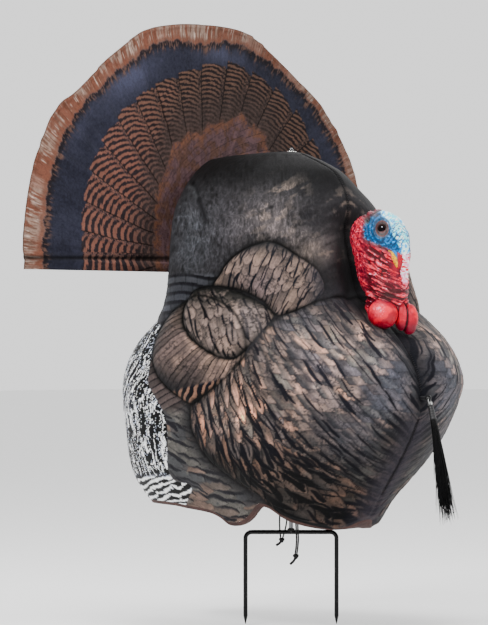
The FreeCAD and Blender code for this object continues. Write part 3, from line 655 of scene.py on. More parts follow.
BLACK = tone(24, 23, 29)
speck = sstep(fbm2(UU / 1.5, VV / 1.5, 121.0, 2), 0.50, 0.66)
specm = sstep(fbm2(UU / 8, VV / 8, 123.0, 3), 0.47, 0.60)
patch = fbm2(UU / 15, VV / 15, 125.0, 3)
ones = 0 * UU[..., None]

# mantle: charcoal, a blue-grey sheen on the rear flank, brown-grey dusting towards the front
sheen = np.exp(-(((UU - 192) / 30) ** 2 + ((VV - 238) / 52) ** 2))
dust = np.exp(-(((UU - 272) / 34) ** 2 + ((VV - 226) / 27) ** 2)) + 0.7 * np.exp(-(((UU - 322) / 22) ** 2 + ((VV - 246) / 20) ** 2))
col = mixc(tone(50, 48, 52) + ones, tone(76, 80, 88), np.clip(sheen * (0.30 + 0.9 * mid), 0, 1))
col = mixc(col, tone(70, 68, 75), 0.6 * np.exp(-(((UU - 228) / 24) ** 2 + ((VV - 235) / 40) ** 2)))
col = mixc(col, tone(112, 101, 99), np.clip(dust * (0.25 + 1.1 * mid), 0, 1) * 0.75)
dk = np.exp(-(((UU - 250) / 60) ** 2 + ((VV - 168) / 14) ** 2)) + 0.7 * np.exp(-(((UU - 318) / 30) ** 2 + ((VV - 178) / 16) ** 2)) + 0.8 * np.exp(-(((UU - 345) / 14) ** 2 + ((VV - 275) / 30) ** 2)) \
    + 0.8 * np.exp(-(((UU - 306) / 26) ** 2 + ((VV - 214) / 9) ** 2)) * sstep(mid, 0.4, 0.6)
col = mixc(col, tone(27, 26, 29), np.clip(dk * (0.45 + 0.8 * big), 0, 0.95))
ax_ = 0.90 * UU - 0.44 * VV
bx_ = 0.44 * UU + 0.90 * VV
soft = fbm2(ax_ / 24, bx_ / 9, 131.0, 4)
col = mixc(col, tone(34, 33, 37), sstep(soft, 0.52, 0.68) * 0.62 * sstep(UU, 225, 265))
tanp = sstep(fbm2(ax_ / 13, bx_ / 5.0, 135.0, 4) + 0.10 * (fine - 0.5), 0.585, 0.70)
tz = np.clip(np.exp(-(((UU - 288) / 22) ** 2 + ((VV - 187) / 11) ** 2)) + np.exp(-(((UU - 342) / 16) ** 2 + ((VV - 203) / 18) ** 2)) + 0.9 * np.exp(-(((UU - 330) / 20) ** 2 + ((VV - 245) / 20) ** 2))
             + 0.7 * np.exp(-(((UU - 272) / 28) ** 2 + ((VV - 222) / 26) ** 2)), 0, 1)
col = mixc(col, tone(138, 119, 105), tanp * tz * 0.62)
# tan ground just above the shoulder panel's front
col = mixc(col, tone(116, 100, 90), np.exp(-(((UU - 308) / 18) ** 2 + ((VV - 252) / 13) ** 2)) * (0.35 + 0.8 * mid) * 0.8)
# rows of small feathers down the mantle, pressed into the cloth
rid, ss, tt_, ed = shingles(Y + 0.10 * X + 7 * (mid - 0.5), X - 0.12 * Y + 9 * (fbm2(UU / 12, VV / 12, 55.0, 3) - 0.5), 15.0, 6.2, 51.0, over=1.6, tip=0.35)
mk = sstep(UU, 318, 262) * sstep(VV, 176, 196) * sstep(UU, 168, 186) * sstep(fbm2(UU / 18, VV / 22, 57.0, 3), 0.34, 0.62)
eg = 1 - sstep(ed, 0.1, 1.5)
col = col * (1 - 0.26 * eg * mk)[..., None] * (1 + 0.10 * (hsh(rid * 77, 0, 2) - 0.5) * mk + 0.12 * (sstep(ss, 0.3, 1.0) - 0.4) * mk)[..., None]
# crinkles over the mantle's rear: painted highlights on their ridges and painted shade in their hollows, over a
# matching relief
crk = 1 - np.abs(2 * fbm2(X / 3.4, Y / 6.5, 59.0, 3) - 1)
mkz = sstep(UU, 330, 300)
col = col * (1 + (0.30 * sstep(crk, 0.86, 0.97) - 0.26 * sstep(crk, 0.62, 0.40)) * mkz)[..., None]
RELF = 0.6 * ss * mk + 0.7 * crk * mkz
# painted highlights along fine crinkles in the rear flank's sheen
ck = 1 - sstep(np.abs(fbm2(X / 6, Y / 12, 141.0, 3) - 0.5), 0.010, 0.035)
col = mixc(col, tone(118, 120, 126), ck * 0.45 * np.exp(-(((UU - 200) / 20) ** 2 + ((VV - 226) / 22) ** 2)))
# painted shade in the fold from the rear corner of the shoulders, and a painted highlight along its edge
fold_ = line_dist([(184, 183), (194, 190), (199, 199), (203, 210), (206, 222)], UU, VV)
col = mixc(col, tone(24, 24, 28), np.exp(-(fold_ / 2.6) ** 2) * 0.7)
col = mixc(col, tone(104, 108, 114), np.exp(-((line_dist([(180, 186), (190, 189), (196, 197)], UU, VV)) / 2.2) ** 2) * 0.6)
col = col * (1 - 0.42 * sstep(VV, 212, 160) - 0.16 * sstep(UU, 250, 205))[..., None]
# dark barred feathers at the mantle's lower rear edge
bar = sstep(VV, 272, 277) * sstep(UU, 228, 214) * sstep(d1, 0.0, -1.5) * sstep(VV, 332, 300)
rv = (VV - 275 + 2.0 * np.sin(UU / 9.0)) / 9.0
r1, f1 = np.floor(rv), rv - np.floor(rv)
c1 = np.floor((UU + 4.5 * (r1 % 2)) / 11.0)
bc = mixc(tone(66, 68, 75) * (0.75 + 0.5 * hsh(r1, c1, 2.0))[..., None], tone(22, 22, 27), np.clip(1 - sstep(f1, 0.25, 0.55), 0, 1))
bc = bc * (0.8 + 0.4 * sstep(np.abs((UU + 4.5 * (r1 % 2)) / 11.0 - c1 - 0.5), 0.5, 0.38))[..., None]
col = mixc(col, bc, bar)
H += 0.5 * bar * f1

# flank panel under the wing: olive-brown with loose black bars sweeping back
T_m = sstep(VV, 385, 402) * sstep(d4, 1.0, -1.0) * sstep(dp, 1.0, -1.0)
pt = (UU - 190) * 0.97 + (VV - 470) * 0.22 + 6 * (patch - 0.5)
qt = (VV - 470) * 0.97 - (UU - 190) * 0.22 + 0.0030 * (UU - 215) ** 2 + 5 * (mid - 0.5)
rid, ss, tt_, ed = shingles(pt, qt, 19, 8.0, 61.0, over=1.8)
tc = mixc(tone(92, 89, 85) + ones, tone(110, 93, 84), sstep(hsh(rid * 91, 0, 4), 0.40, 0.75))
tc = tc * (0.72 + 0.4 * mid + 0.22 * sstep(ss, 0.2, 1))[..., None]
tc = mixc(tc, tone(62, 64, 68), sstep(patch, 0.52, 0.62) * 0.7)
tc = mixc(tc, BLACK, np.clip((1 - sstep(tt_, -0.75, -0.25)) * sstep(hsh(rid * 31, 0, 4), 0.25, 0.5), 0, 1) * 0.95)
tc = mixc(tc, BLACK, long_streaks(pt, qt, 42, 9.0, 64.0, width=1.7, share=0.8) * 0.95)
# painted shade along the belly panel's edge, and dark feather edges
tc = mixc(tc, tone(34, 33, 35), np.clip(sstep(d4, -14, -1) * (d4 < 0) * 0.8 + (1 - sstep(ed, 0.1, 1.2)) * 0.45, 0, 1))
col = mixc(col, tc, T_m)
RELF = RELF * (1 - T_m) + 1.0 * ss * T_m
# dark stepped feathers between the wing panel and the primaries
wedge = sstep(dp, 0.8, -0.8) * sstep(d3, 0.5, -0.5) * sstep(UU, 190, 176) * sstep(VV, 334, 345) * sstep(VV, 418, 404)
k = (Y * 0.86 + X * 0.5) / 6.4
kc, kf = np.floor(k), k - np.floor(k)
wc = tone(72, 62, 60) * (0.55 + 0.6 * hsh(kc, 0, 8.0) + 0.25 * kf)[..., None]
wc = mixc(wc, tone(20, 18, 22), 1 - sstep(kf, 0.0, 0.28))
col = mixc(col, wc, wedge)
H += wedge * 0.9 * kf

# secondaries: fine ribs that fan out from under the covert panel
a3 = np.arctan2(VV - 268, 262 - UU) + 0.03 * (mid - 0.5)
rr3 = np.hypot(UU - 262, VV - 268)
k3 = a3 / math.radians(2.3) + 0.8 * (fbm2(a3 * 8, rr3 / 22, 15.0) - 0.5)
c3, f3 = np.floor(k3), k3 - np.floor(k3)
s3 = mixc(tone(94, 80, 76) + ones, tone(128, 109, 100), np.clip(sstep(rr3, 120, 75) * 0.25 + 1.1 * (patch - 0.42) * 2, 0, 1))
s3 = s3 * (0.86 + 0.26 * hsh(c3, 0, 12.0))[..., None]
s3 = mixc(s3, tone(40, 34, 34), (1 - sstep(f3, 0.04, 0.36)) * np.clip(0.25 + 0.75 * hsh(c3, 3, 1), 0, 1) * (0.55 + 0.45 * sstep(fbm2(a3 * 30, rr3 / 18, 16.0), 0.4, 0.6)))
s3 = mixc(s3, tone(54, 46, 45), speck * specm * 0.5)
# painted shade inside the panel's rear edge; darker towards the bottom rear
rim3 = np.exp(-np.maximum(d3, 0) / 7.0)
s3 = mixc(s3, tone(40, 35, 36), np.clip(0.55 * rim3 * sstep(UU, 200, 165) + 0.62 * sstep(VV, 356, 392) * sstep(UU, 215, 185), 0, 1))
bot = sstep(VV + 0.25 * (UU - 190), 385, 389)
s3 = mixc(s3, mixc(tone(122, 96, 84) + ones, tone(24, 24, 31), sstep(np.sin(k3 * 6.0 + 2.0 * (mid - 0.5)), -0.45, 0.15)), bot * 0.85)
m3 = sstep(d3, -0.7, 0.7) * (d2 < 0) * (d1 < 0)
col = mixc(col, s3, m3)
RELF = RELF * (1 - m3) + m3 * (0.75 * f3)


def stroke(tt, ss, rid, k, lo=0.25, wmax=0.9):
    """black brush stroke down one side of a feather"""
    w = wmax * (0.25 + 0.75 * hsh(rid * 57, k, 5)) * np.clip(ss * 1.3, 0, 1)
    return (1 - sstep(tt, -1 + w * 0.75, -1 + w + 0.12)) * (hsh(rid * 91, k, 6) > lo)


# scapular panel
q1 = (UU - 213) * 0.94 + (VV - 286) * 0.24 + 0.0016 * (VV - 250) ** 2 * 2.0
p1 = VV - 0.25 * UU
rid, ss, tt_, ed = shingles(p1 + wv, q1 + wu, 19.0, 7.6, 71.0, over=1.9, tip=0.70, blunt=3.0)
s1 = mixc(tone(116, 101, 95) + ones, tone(134, 116, 106), sstep(hsh(rid * 13, 0, 1), 0.30, 1.0))
s1 = mixc(s1, tone(112, 98, 100), np.exp(-(((UU - 262) / 18) ** 2 + ((VV - 288) / 16) ** 2)) * 0.6)
barb1 = fbm2((q1 + wu) / 0.9, (p1 + wv) / 7.0, 181.0, 3)
s1 = s1 * (0.74 + 0.34 * sstep(ss, 0.15, 0.9) + 0.30 * (mid - 0.5) + 0.34 * (barb1 - 0.5))[..., None]
s1 = mixc(s1, tone(60, 54, 53), speck * specm * 0.55)
s1 = mixc(s1, BLACK, stroke(tt_, ss + 0.35, rid, 1, 0.05, 0.50) * 0.92)
s1 = mixc(s1, BLACK, long_streaks(p1 + wv, q1 + wu + 3, 26, 8.2, 73.0, width=0.75, share=0.75) * 0.85)
s1 = mixc(s1, tone(40, 37, 38), (1 - sstep(ed, 0.1, 1.1)) * 0.55)
# painted shade along the panel's upper edge, where it tucks under the mantle, and darker towards its top
s1 = mixc(s1, tone(36, 34, 35), np.clip(np.exp(-np.maximum(d1, 0) / 4.0) * 0.62 * sstep(UU, 322, 290) * sstep(VV, 285, 262) + 0.45 * sstep(VV, 262, 244) * (0.5 + mid), 0, 0.9))
s1 = mixc(s1, tone(62, 60, 66), sstep(UU, 300, 320) * 0.6)
m1 = sstep(d1, -0.7, 0.7) * (d2 < 0)
m1 = m1 * (1 - 0.6 * sstep(UU, 312, 326))
col = mixc(col, s1, m1)
RELF = RELF * (1 - m1) + m1 * 1.3 * ss

# covert panel
q2 = (UU - 190) * 0.86 - (VV - 300) * 0.38 + 0.0022 * (VV - 300) ** 2 * 1.2
p2 = VV * 0.93 + 0.42 * UU
rid, ss, tt_, ed = shingles(p2 + wv, q2 + wu, 17.0, 7.2, 81.0, over=1.9, tip=0.70, blunt=3.0)
s2 = mixc(tone(110, 97, 92) + ones, tone(132, 115, 107), sstep(hsh(rid * 17, 0, 1), 0.30, 1.0))
barb2 = fbm2((q2 + wu) / 0.9, (p2 + wv) / 7.0, 183.0, 3)
s2 = s2 * (0.78 + 0.30 * sstep(ss, 0.15, 0.9) + 0.28 * (mid - 0.5) + 0.34 * (barb2 - 0.5))[..., None]
# painted sheen: a pale pinkish highlight on the covert's lower middle, where the black marks fade
lt = np.exp(-(((UU - 252) / 15) ** 2 + ((VV - 323) / 17) ** 2))
s2 = mixc(s2, tone(134, 122, 120), lt * 0.65)
s2 = mixc(s2, tone(56, 50, 48), speck * specm * 0.6)
s2 = mixc(s2, BLACK, stroke(tt_, ss + 0.2, rid, 2, 0.12, 0.62) * (1 - 0.85 * lt) * 0.95)
s2 = mixc(s2, BLACK, long_streaks(p2 + wv, q2 + wu + 2, 30, 9.0, 83.0, width=0.9, share=0.7) * (1 - 0.7 * lt) * 0.9)
s2 = mixc(s2, tone(42, 37, 37), (1 - sstep(ed, 0.1, 1.2)) * 0.5 * (1 - 0.5 * lt))
# painted shade inside the covert's edge, strongest along its rear and lower rear side
s2 = mixc(s2, tone(32, 29, 29), np.exp(-np.maximum(d2, 0) / 4.0) * 0.65 * (0.25 + 0.75 * sstep(UU - (VV - 300) * 0.9, 236, 216)))
s2 = mixc(s2, tone(40, 37, 35), sstep(VV, 316, 294) * sstep(mid + 0.3 * (barb2 - 0.5), 0.30, 0.55) * 0.85)
m2 = sstep(d2, -0.7, 0.7)
col = mixc(col, s2, m2)
RELF = RELF * (1 - m2) + m2 * 1.3 * ss

# belly and breast: the feathers' run is steep at the rear and flattens towards the keel; follow it row by row
gu, gv = np.arange(140.0, 520.0, 1.0), np.arange(270.0, 640.0, 1.0)
GQ, GP = np.zeros((len(gv), len(gu))), np.zeros((len(gv), len(gu)))
k0 = 130
GQ[k0], GP[k0] = gu, 0.0


def lean_angle(u, v):
    a = 49 + 27 * sstep(u, 320, 205) - 24 * sstep(v, 395, 500) * sstep(u, 225, 320) + 14 * sstep(v, 345, 305) * sstep(u, 380, 300)
    return np.radians(a)


for rng, sg in ((range(k0 + 1, len(gv)), 1), (range(k0 - 1, -1, -1), -1)):
    for r_ in rng:
        A_ = lean_angle(gu, gv[r_])
        us = gu - sg / np.tan(A_)
        GQ[r_] = np.interp(us, gu, GQ[r_ - sg]) + np.where(us < gu[0], us - gu[0], 0) + np.where(us > gu[-1], us - gu[-1], 0)
        GP[r_] = np.interp(us, gu, GP[r_ - sg]) + sg / np.sin(A_)


def look(G, u, v):
    a, b = np.clip(u - gu[0], 0, len(gu) - 1.001), np.clip(v - gv[0], 0, len(gv) - 1.001)
    i, j = np.floor(a).astype(int), np.floor(b).astype(int)
    fa, fb = a - i, b - j
    return (G[j, i] * (1 - fa) + G[j, i + 1] * fa) * (1 - fb) + (G[j + 1, i] * (1 - fa) + G[j + 1, i + 1] * fa) * fb


q4, p4 = look(GQ, X, Y), look(GP, X, Y)
# feathers are narrow at the rear and broad on the breast
kq = np.array([60, 150, 190, 230, 270, 310, 350, 400, 520], float)
wq = np.array([9, 9, 8.5, 9.0, 11, 13.5, 14, 13, 13])
qi_ = np.concatenate([[0], np.cumsum(np.diff(kq) / ((wq[1:] + wq[:-1]) / 2))])
qs = np.interp(q4, kq, qi_) * 10.0
rear4 = sstep(q4, 300, 235)
front4 = sstep(q4, 300, 370)
# painted sheen: blue-grey patches of reflected light on the breast near the seam and below the shoulder
blue_sheen = np.exp(-(((UU - 392) / 26) ** 2 + ((VV - 392) / 34) ** 2)) + 0.7 * np.exp(-(((UU - 352) / 30) ** 2 + ((VV - 440) / 26) ** 2)) + 0.35 * np.exp(-(((UU - 300) / 24) ** 2 + ((VV - 330) / 16) ** 2))
# broad square-ended feathers on the breast
ra_, sa_4, ta_, ea_ = shingles(p4, qs, 17.0, 10.0, 91.0, over=1.55, tip=0.90, blunt=5.0)
# long pointed ones at the rear
rb_, sb_4, tb_, eb_ = shingles(p4, qs * 1.0 + 2, 19.0, 9.6, 93.0, over=1.55, tip=0.25, blunt=1.5)
use_b = (rear4 + 0.5 * (patch - 0.5) * 2) > 0.5
rid, ss, tt_, ed = [np.where(use_b, b_, a_) for a_, b_ in ((ra_, rb_), (sa_4, sb_4), (ta_, tb_), (ea_, eb_))]
h1, h2, h3 = hsh(rid * 17, 2, 2), hsh(rid * 37, 2, 3), hsh(rid * 53, 2, 4)
barb4 = fbm2(qs / 1.1, p4 / 8.0, 185.0, 3)
b1 = mixc(tone(116, 102, 96) + ones, mixc(tone(148, 124, 110) + ones, tone(172, 132, 112), rear4), sstep(0.7 * h1 + 0.9 * (patch - 0.5) + 0.40 * rear4, 0.30, 0.90))
b1 = mixc(b1, tone(90, 90, 86), sstep(h2 + 0.6 * (mid - 0.5), 0.70, 0.95) * 0.62)
b1 = mixc(b1, tone(84, 80, 84), sstep(h3, 0.66, 0.9) * (0.35 + 0.5 * front4))
b1 = b1 * (0.78 + 0.32 * sstep(ss, 0.05, 0.8) + 0.42 * (mid - 0.5) + 0.24 * (barb4 - 0.5))[..., None]
# dark olive shade down one side and across the root of each feather
b1 = mixc(b1, tone(54, 56, 58), np.clip((1 - sstep(tt_ + 0.8 * (mid - 0.5), -0.75, 0.25)) * 0.62 * sstep(hsh(rid * 23, 1, 1), 0.20, 0.5), 0, 1))
b1 = mixc(b1, tone(44, 41, 43), speck * specm * 0.62)
bd = fbm2(qs / 9.0, p4 / 26.0, 127.0, 4)
b1 = mixc(b1, tone(46, 44, 47), sstep(bd, 0.52, 0.66) * 0.50 * (1 - 0.6 * rear4))
b1 = mixc(b1, tone(80, 84, 97), np.clip(blue_sheen * 0.62, 0, 0.75))
b1 = mixc(b1, BLACK, np.clip(stroke(tt_, ss + 0.15, rid, 3, 0.16 + 0.2 * front4, 1.0) * (0.30 + 0.70 * rear4), 0, 1) * 0.97)
b1 = mixc(b1, BLACK, long_streaks(p4 + 8, qs + 4.0, 40, 9.0, 95.0, width=1.55, share=0.62) * 0.97)
b1 = mixc(b1, BLACK, long_streaks(p4 + 21, qs + 7.0, 34, 11.0, 96.0, width=1.25, share=0.50) * sstep(rear4, 0.2, 0.8) * 0.97)
b1 = mixc(b1, BLACK, long_streaks(p4 + 3, qs + 1.0, 60, 5.0, 97.0, width=0.50, share=0.60) * (0.25 + 0.70 * front4) * 0.9)
b1 = mixc(b1, BLACK, long_streaks(p4 + 13, qs + 2.0, 30, 5.6, 98.0, width=0.95, share=0.72) * sstep(VV, 418, 462) * 0.92)
b1 = mixc(b1, BLACK, long_streaks(p4 + 27, qs + 5.0, 24, 4.4, 99.0, width=0.70, share=0.60) * sstep(VV, 430, 475) * 0.85)
# painted shadow along each feather's visible edge
b1 = mixc(b1, tone(32, 30, 33), (1 - sstep(ed, 0.05, 1.15)) * (0.42 + 0.38 * rear4))
m4 = sstep(d4, -0.7, 0.9) * (d2 < 0.3) * (d1 < 0.3) * (d3 < 0.3)
# painted shade inside the belly panel's edge
near = np.exp(-np.maximum(d4, 0) / 9.0)
b1 = mixc(b1, tone(30, 27, 29), np.clip(near * 0.42 * (0.3 + 1.2 * mid), 0, 1))
# falls into shade towards the keel and the rear edge, and on the far side of the seam
low4 = sstep(VV, 400, 500)
b1 = b1 * (1 - 0.42 * low4 - 0.30 * sstep(UU, 262, 205) * sstep(VV, 420, 470))[..., None]
b1 = b1 * (1 - 0.38 * sstep(UU, 365, 400) * sstep(VV, 405, 440))[..., None]
# painted pools of light on the mid belly, the upper breast and the rear of the belly
b1 = b1 * (1 + 0.34 * np.exp(-(((UU - 320) / 34) ** 2 + ((VV - 374) / 30) ** 2)) + 0.22 * np.exp(-(((UU - 372) / 34) ** 2 + ((VV - 350) / 24) ** 2)) + 0.25 * np.exp(-(((UU - 226) / 20) ** 2 + ((VV - 420) / 34) ** 2)))[..., None]
# painted shadow in the cleft along the chest seam
seam_cleft_shade = np.exp(-((P0[..., 0]) / 17.0) ** 2) * sstep(VV, 318, 335) * sstep(VV, 425, 400)
b1 = mixc(b1, tone(20, 20, 25), seam_cleft_shade * 0.85)
b1 = mixc(b1, tone(64, 58, 68), sstep(np.abs(P0[..., 0]), 46, 8) * sstep(VV, 405, 430) * 0.6)
# painted shade under the shoulder panel's lower edge
shelf_shade = sstep(VV, 332, 302) * sstep(UU, 300, 345)
b1 = mixc(b1, tone(42, 39, 43), shelf_shade * 0.6)
col = mixc(col, b1, m4)
RELF = RELF * (1 - m4) + m4 * (1.5 * ss * (0.7 + 0.6 * rear4))

# primaries: white with black frond-like marks, barred along the bottom
pr = sstep(dp, -0.6, 0.6) * (d3 < 0)
slant_ = 0.62 * (VV - 385) * sstep(VV, 430, 365)
UU2 = U[:, :1] + np.concatenate([np.zeros((NJ, 1)), np.cumsum(np.minimum(np.diff(U, axis=1), -0.80 * dS / K), axis=1)], 1)
nx = (UU2 + slant_) / 3.9 + 2.4 * (fbm2(UU / 8, VV / 12, 41.0) - 0.5)
ny = VV / 17.0 + 2.4 * (fbm2(UU / 9, VV / 13, 43.0) - 0.5)
ridge = 1 - np.abs(2 * fbm2(nx, ny, 45.0, 3) - 1)
ridge2 = 1 - np.abs(2 * fbm2(nx * 1.9 + 9, ny * 1.7, 47.0, 3) - 1)
wht = np.clip(sstep(ridge, 0.90, 0.945) + 0.75 * sstep(ridge2, 0.948, 0.975), 0, 1)
rear = sstep(UU, 140, 126)
blob = sstep(fbm2(nx * 0.7, ny * 0.7, 49.0, 3), 0.55, 0.62)
wht = np.clip(wht + rear * 0.40 * blob, 0, 1)
hb = np.sin((VV + 0.25 * UU + 4 * (mid - 0.5) * 2 + 1.3 * np.floor(UU / 11.0 + 0.5 * np.sin(VV / 4.0)) + 5.0 * (fbm2(UU / 9, VV / 9, 48.0) - 0.5)) / 1.15)
lowb = sstep(VV, 470, 480)
wht = wht * (1 - lowb) + lowb * sstep(hb + 2.6 * (fbm2(UU / 5, VV / 3, 44.0) - 0.5), 0.05, 0.45)
wb = mixc(tone(15, 15, 20) + ones, tone(238, 241, 248), wht)
wb = mixc(wb, tone(120, 124, 136), 0.10 * sstep(mid, 0.45, 0.6))
col = mixc(col, wb, pr)
RELF = RELF * (1 - pr) + pr * 0.5 * wht

# painted shade: dark lines in the creases round the panels
wob_ = 0.55 + 0.9 * fbm2(UU / 7, VV / 7, 171.0, 3)
for d, w, s in ((d2, 1.3, 0.72), (d1, 1.3, 0.70), (d3, 1.3, 0.55), (d4, 1.8, 0.66)):
    ff = np.clip(s * wob_, 0, 0.85) * np.exp(-(np.abs(d + 1.2 * (mid - 0.5)) / w) ** 1.5)
    if d is d1:
        ff = ff * sstep(UU, 326, 300)
    if d is d4:
        ff = ff * sstep(d2, 0.5, -0.5) * sstep(d1, 0.5, -0.5) * (1 - 0.55 * sstep(UU, 285, 262) * sstep(VV, 320, 335) * sstep(VV, 400, 385))
    if d is d2:
        ff = ff * (1 - 0.6 * sstep(UU - (VV - 300) * 0.9, 222, 240))
    ff = ff * (1 - 0.75 * M2R) * (1 - 0.6 * M3R)
    col = col * (1 - ff)[..., None]
# cast shade beside the panels
sh1 = (d1 < 0) * np.exp(d1 / 7.0) * (VV < 290) * 0.40 + (d2 < 0) * np.exp(d2 / 6.0) * (VV < 330) * 0.35 + (d1 < 0) * np.exp(d1 / 5.0) * (VV >= 290) * 0.3 * (d4 < 0)
col = col * (1 - np.clip(sh1, 0, 0.7))[..., None]
# painted shade in the recess beside the neck
rec = np.exp(-((line_dist([(350, 224), (353, 250), (358, 280), (364, 305)], UU, VV)) / 6.0) ** 2) * sstep(VV, 208, 222)
col = col * (1 - 0.75 * rec)[..., None]
col = col * (0.88 + 0.24 * fine)[..., None]
# calmer, greyer leaf colours at the rear of the belly and greyer, darker ones low on it; softer tips on the wing panels
grey_ = col.mean(-1, keepdims=True)
wr_ = (np.exp(-(((UU - 236) / 30) ** 2 + ((VV - 398) / 42) ** 2)) * (d4 > 0))[..., None]
col = col * (1 - 0.50 * wr_) + 0.50 * wr_ * (grey_ * np.array([1.10, 0.99, 0.93]) * 0.93)
wl_ = (np.exp(-(((UU - 292) / 42) ** 2 + ((VV - 486) / 26) ** 2)) * (d4 > 0))[..., None]
col = col * (1 - 0.55 * wl_) + 0.55 * wl_ * (grey_ * np.array([1.08, 0.99, 0.95]) * 0.84)
wing_ = np.clip(sstep(d1, -0.5, 0.5) + sstep(d2, -0.5, 0.5), 0, 1)
lum_ = col.max(-1)
cap_ = np.where(lum_ > 0.50, (0.50 + 0.55 * (lum_ - 0.50)) / np.maximum(lum_, 1e-4), 1.0)
col = col * (1 - wing_ * (1 - cap_))[..., None]
strip_ = np.exp(-(((UU - 188) / 30) ** 2 + ((VV - 290) / 16) ** 2)) * (1 - wing_) * (1 - np.clip(pr, 0, 1))
col = col * (1 - 0.46 * strip_ * sstep(lum_, 0.22, 0.42))[..., None]
col = col + (np.clip((col - 0.52) * 1.30 + 0.52, 0.02, 1.0) - col) * np.clip(pr, 0, 1)[..., None]
for mk_, c0_, k_ in ((sstep(VV, 292, 276) * (1 - wing_) * (1 - np.clip(pr, 0, 1)), tone(62, 60, 66), 1.22),
                     (np.clip(m3, 0, 1), tone(97, 83, 80), 1.55), (sstep(d2, -0.5, 0.5), tone(115, 101, 98), 1.35),
                     (sstep(d1, -0.5, 0.5) * (d2 < 0), tone(119, 106, 102), 1.15), (np.clip(m4, 0, 1), tone(80, 73, 72), 1.14)):
    col = col + ((k_ - 1) * mk_)[..., None] * (col - c0_)
mant_ = (sstep(VV, 292, 276) * (1 - wing_) * (1 - np.clip(pr, 0, 1)))[..., None]
col = col * (1 - 0.30 * mant_) + 0.30 * mant_ * col.mean(-1, keepdims=True) * np.array([1.03, 0.99, 1.0])
col = col * (1 + 0.07 * np.clip(m3, 0, 1) + 0.05 * sstep(d2, -0.5, 0.5))[..., None]
col = col * (1 + 0.10 * np.exp(-(((UU - 250) / 34) ** 2 + ((VV - 440) / 34) ** 2)) - 0.08 * np.exp(-(((UU - 372) / 40) ** 2 + ((VV - 335) / 22) ** 2)))[..., None]
col = to_paint(np.clip(col, 0.035, 1.0), 1.10)
H += 0.8 * RELF
H += 0.5 * (fbm2(UU / 7, VV / 7, 77.0) - 0.5)
# soft sewing valley along the centre seam, and taut edges
H -= 1.6 * np.exp(-(np.abs(P0[..., 0]) / 4.0) ** 2) * (TH < 2.2) + 1.2 * np.exp(-(np.abs(P0[..., 0]) / 4.0) ** 2) * (TH > 2.2) * (P0[..., 2] > 505)
ez = np.minimum(np.arange(NJ)[:, None] / 6.0, 1.0) * np.minimum((NI - 1 - np.arange(NI))[None, :] / 6.0 + (TH_END[:, None] == np.pi), 1.0)
H = H * ez * sstep(np.hypot(P0[..., 0], P0[..., 1]), 12.0, 26.0)
# room under the wattles for the head to turn
dent = np.exp(-(((np.abs(P0[..., 0]) - 30.0) / 20.0) ** 2 + ((P0[..., 1] + 208.0) / 24.0) ** 2 + ((P0[..., 2] - 288.0) / 20.0) ** 2))
H = H - np.clip(H - 0.3, 0.0, None) * 0.92 * np.clip(dent * 1.3, 0.0, 1.0)
PO = P0 + N0 * H[..., None]
PO[:, 0, 0] = 0.0
PO[TH_END == np.pi, -1, 0] = 0.0
PO[..., 0] = np.minimum(PO[..., 0], 0.0)
NPT = np.array([0, -173.6, 313.5])
NAX = np.array([0, -math.sin(math.radians(36)), math.cos(math.radians(36))])
rel_ = PO - NPT
tax = rel_ @ NAX
rad_ = np.linalg.norm(rel_ - tax[..., None] * NAX, axis=-1)
# the breast dips to a flat seat round the neck and under the wattles
lift = np.clip(tax - 1.0, 0, None) * sstep(rad_, 62, 40) * (P0[..., 1] < -60) * (np.abs(tax) < 60)
PO = PO - NAX * lift[..., None]
rho = np.hypot(PO[..., 0], PO[..., 1])
PO[..., 2] = np.where(rho < 10.4, np.minimum(PO[..., 2], 550.3), PO[..., 2])
PIN = P0 - N0 * FOAM
PIN[:, 0, 0] = 0.0
PIN[TH_END == np.pi, -1, 0] = 0.0


PIN[..., 2] = np.where(np.hypot(P0[..., 0], P0[..., 1]) < 18, np.minimum(PIN[..., 2], 545.2), PIN[..., 2])
PIN[..., 2] = np.where(np.hypot(P0[..., 0], P0[..., 1]) < 18, np.maximum(PIN[..., 2], 545.05), PIN[..., 2])


def drop_faces(V, F):
    """the neck's cup, the beard's stud and the eyelet's barrel pass through holes in the cloth and foam"""
    c = V[F].mean(1)
    r_ = c - NPT
    t_a = r_ @ NAX
    rr_ = np.linalg.norm(r_ - t_a[:, None] * NAX, axis=1)
    neck = (rr_ < 13.0) & (c[:, 1] < -100) & (c[:, 2] > 250)
    stud = (np.hypot(c[:, 0], c[:, 2] - 197.0) < 3.6) & (c[:, 1] < -200)
    eyl = (np.hypot(c[:, 0], c[:, 1]) < 5.8) & (c[:, 2] > 500)
    return F[~(neck | stud | eyl)]


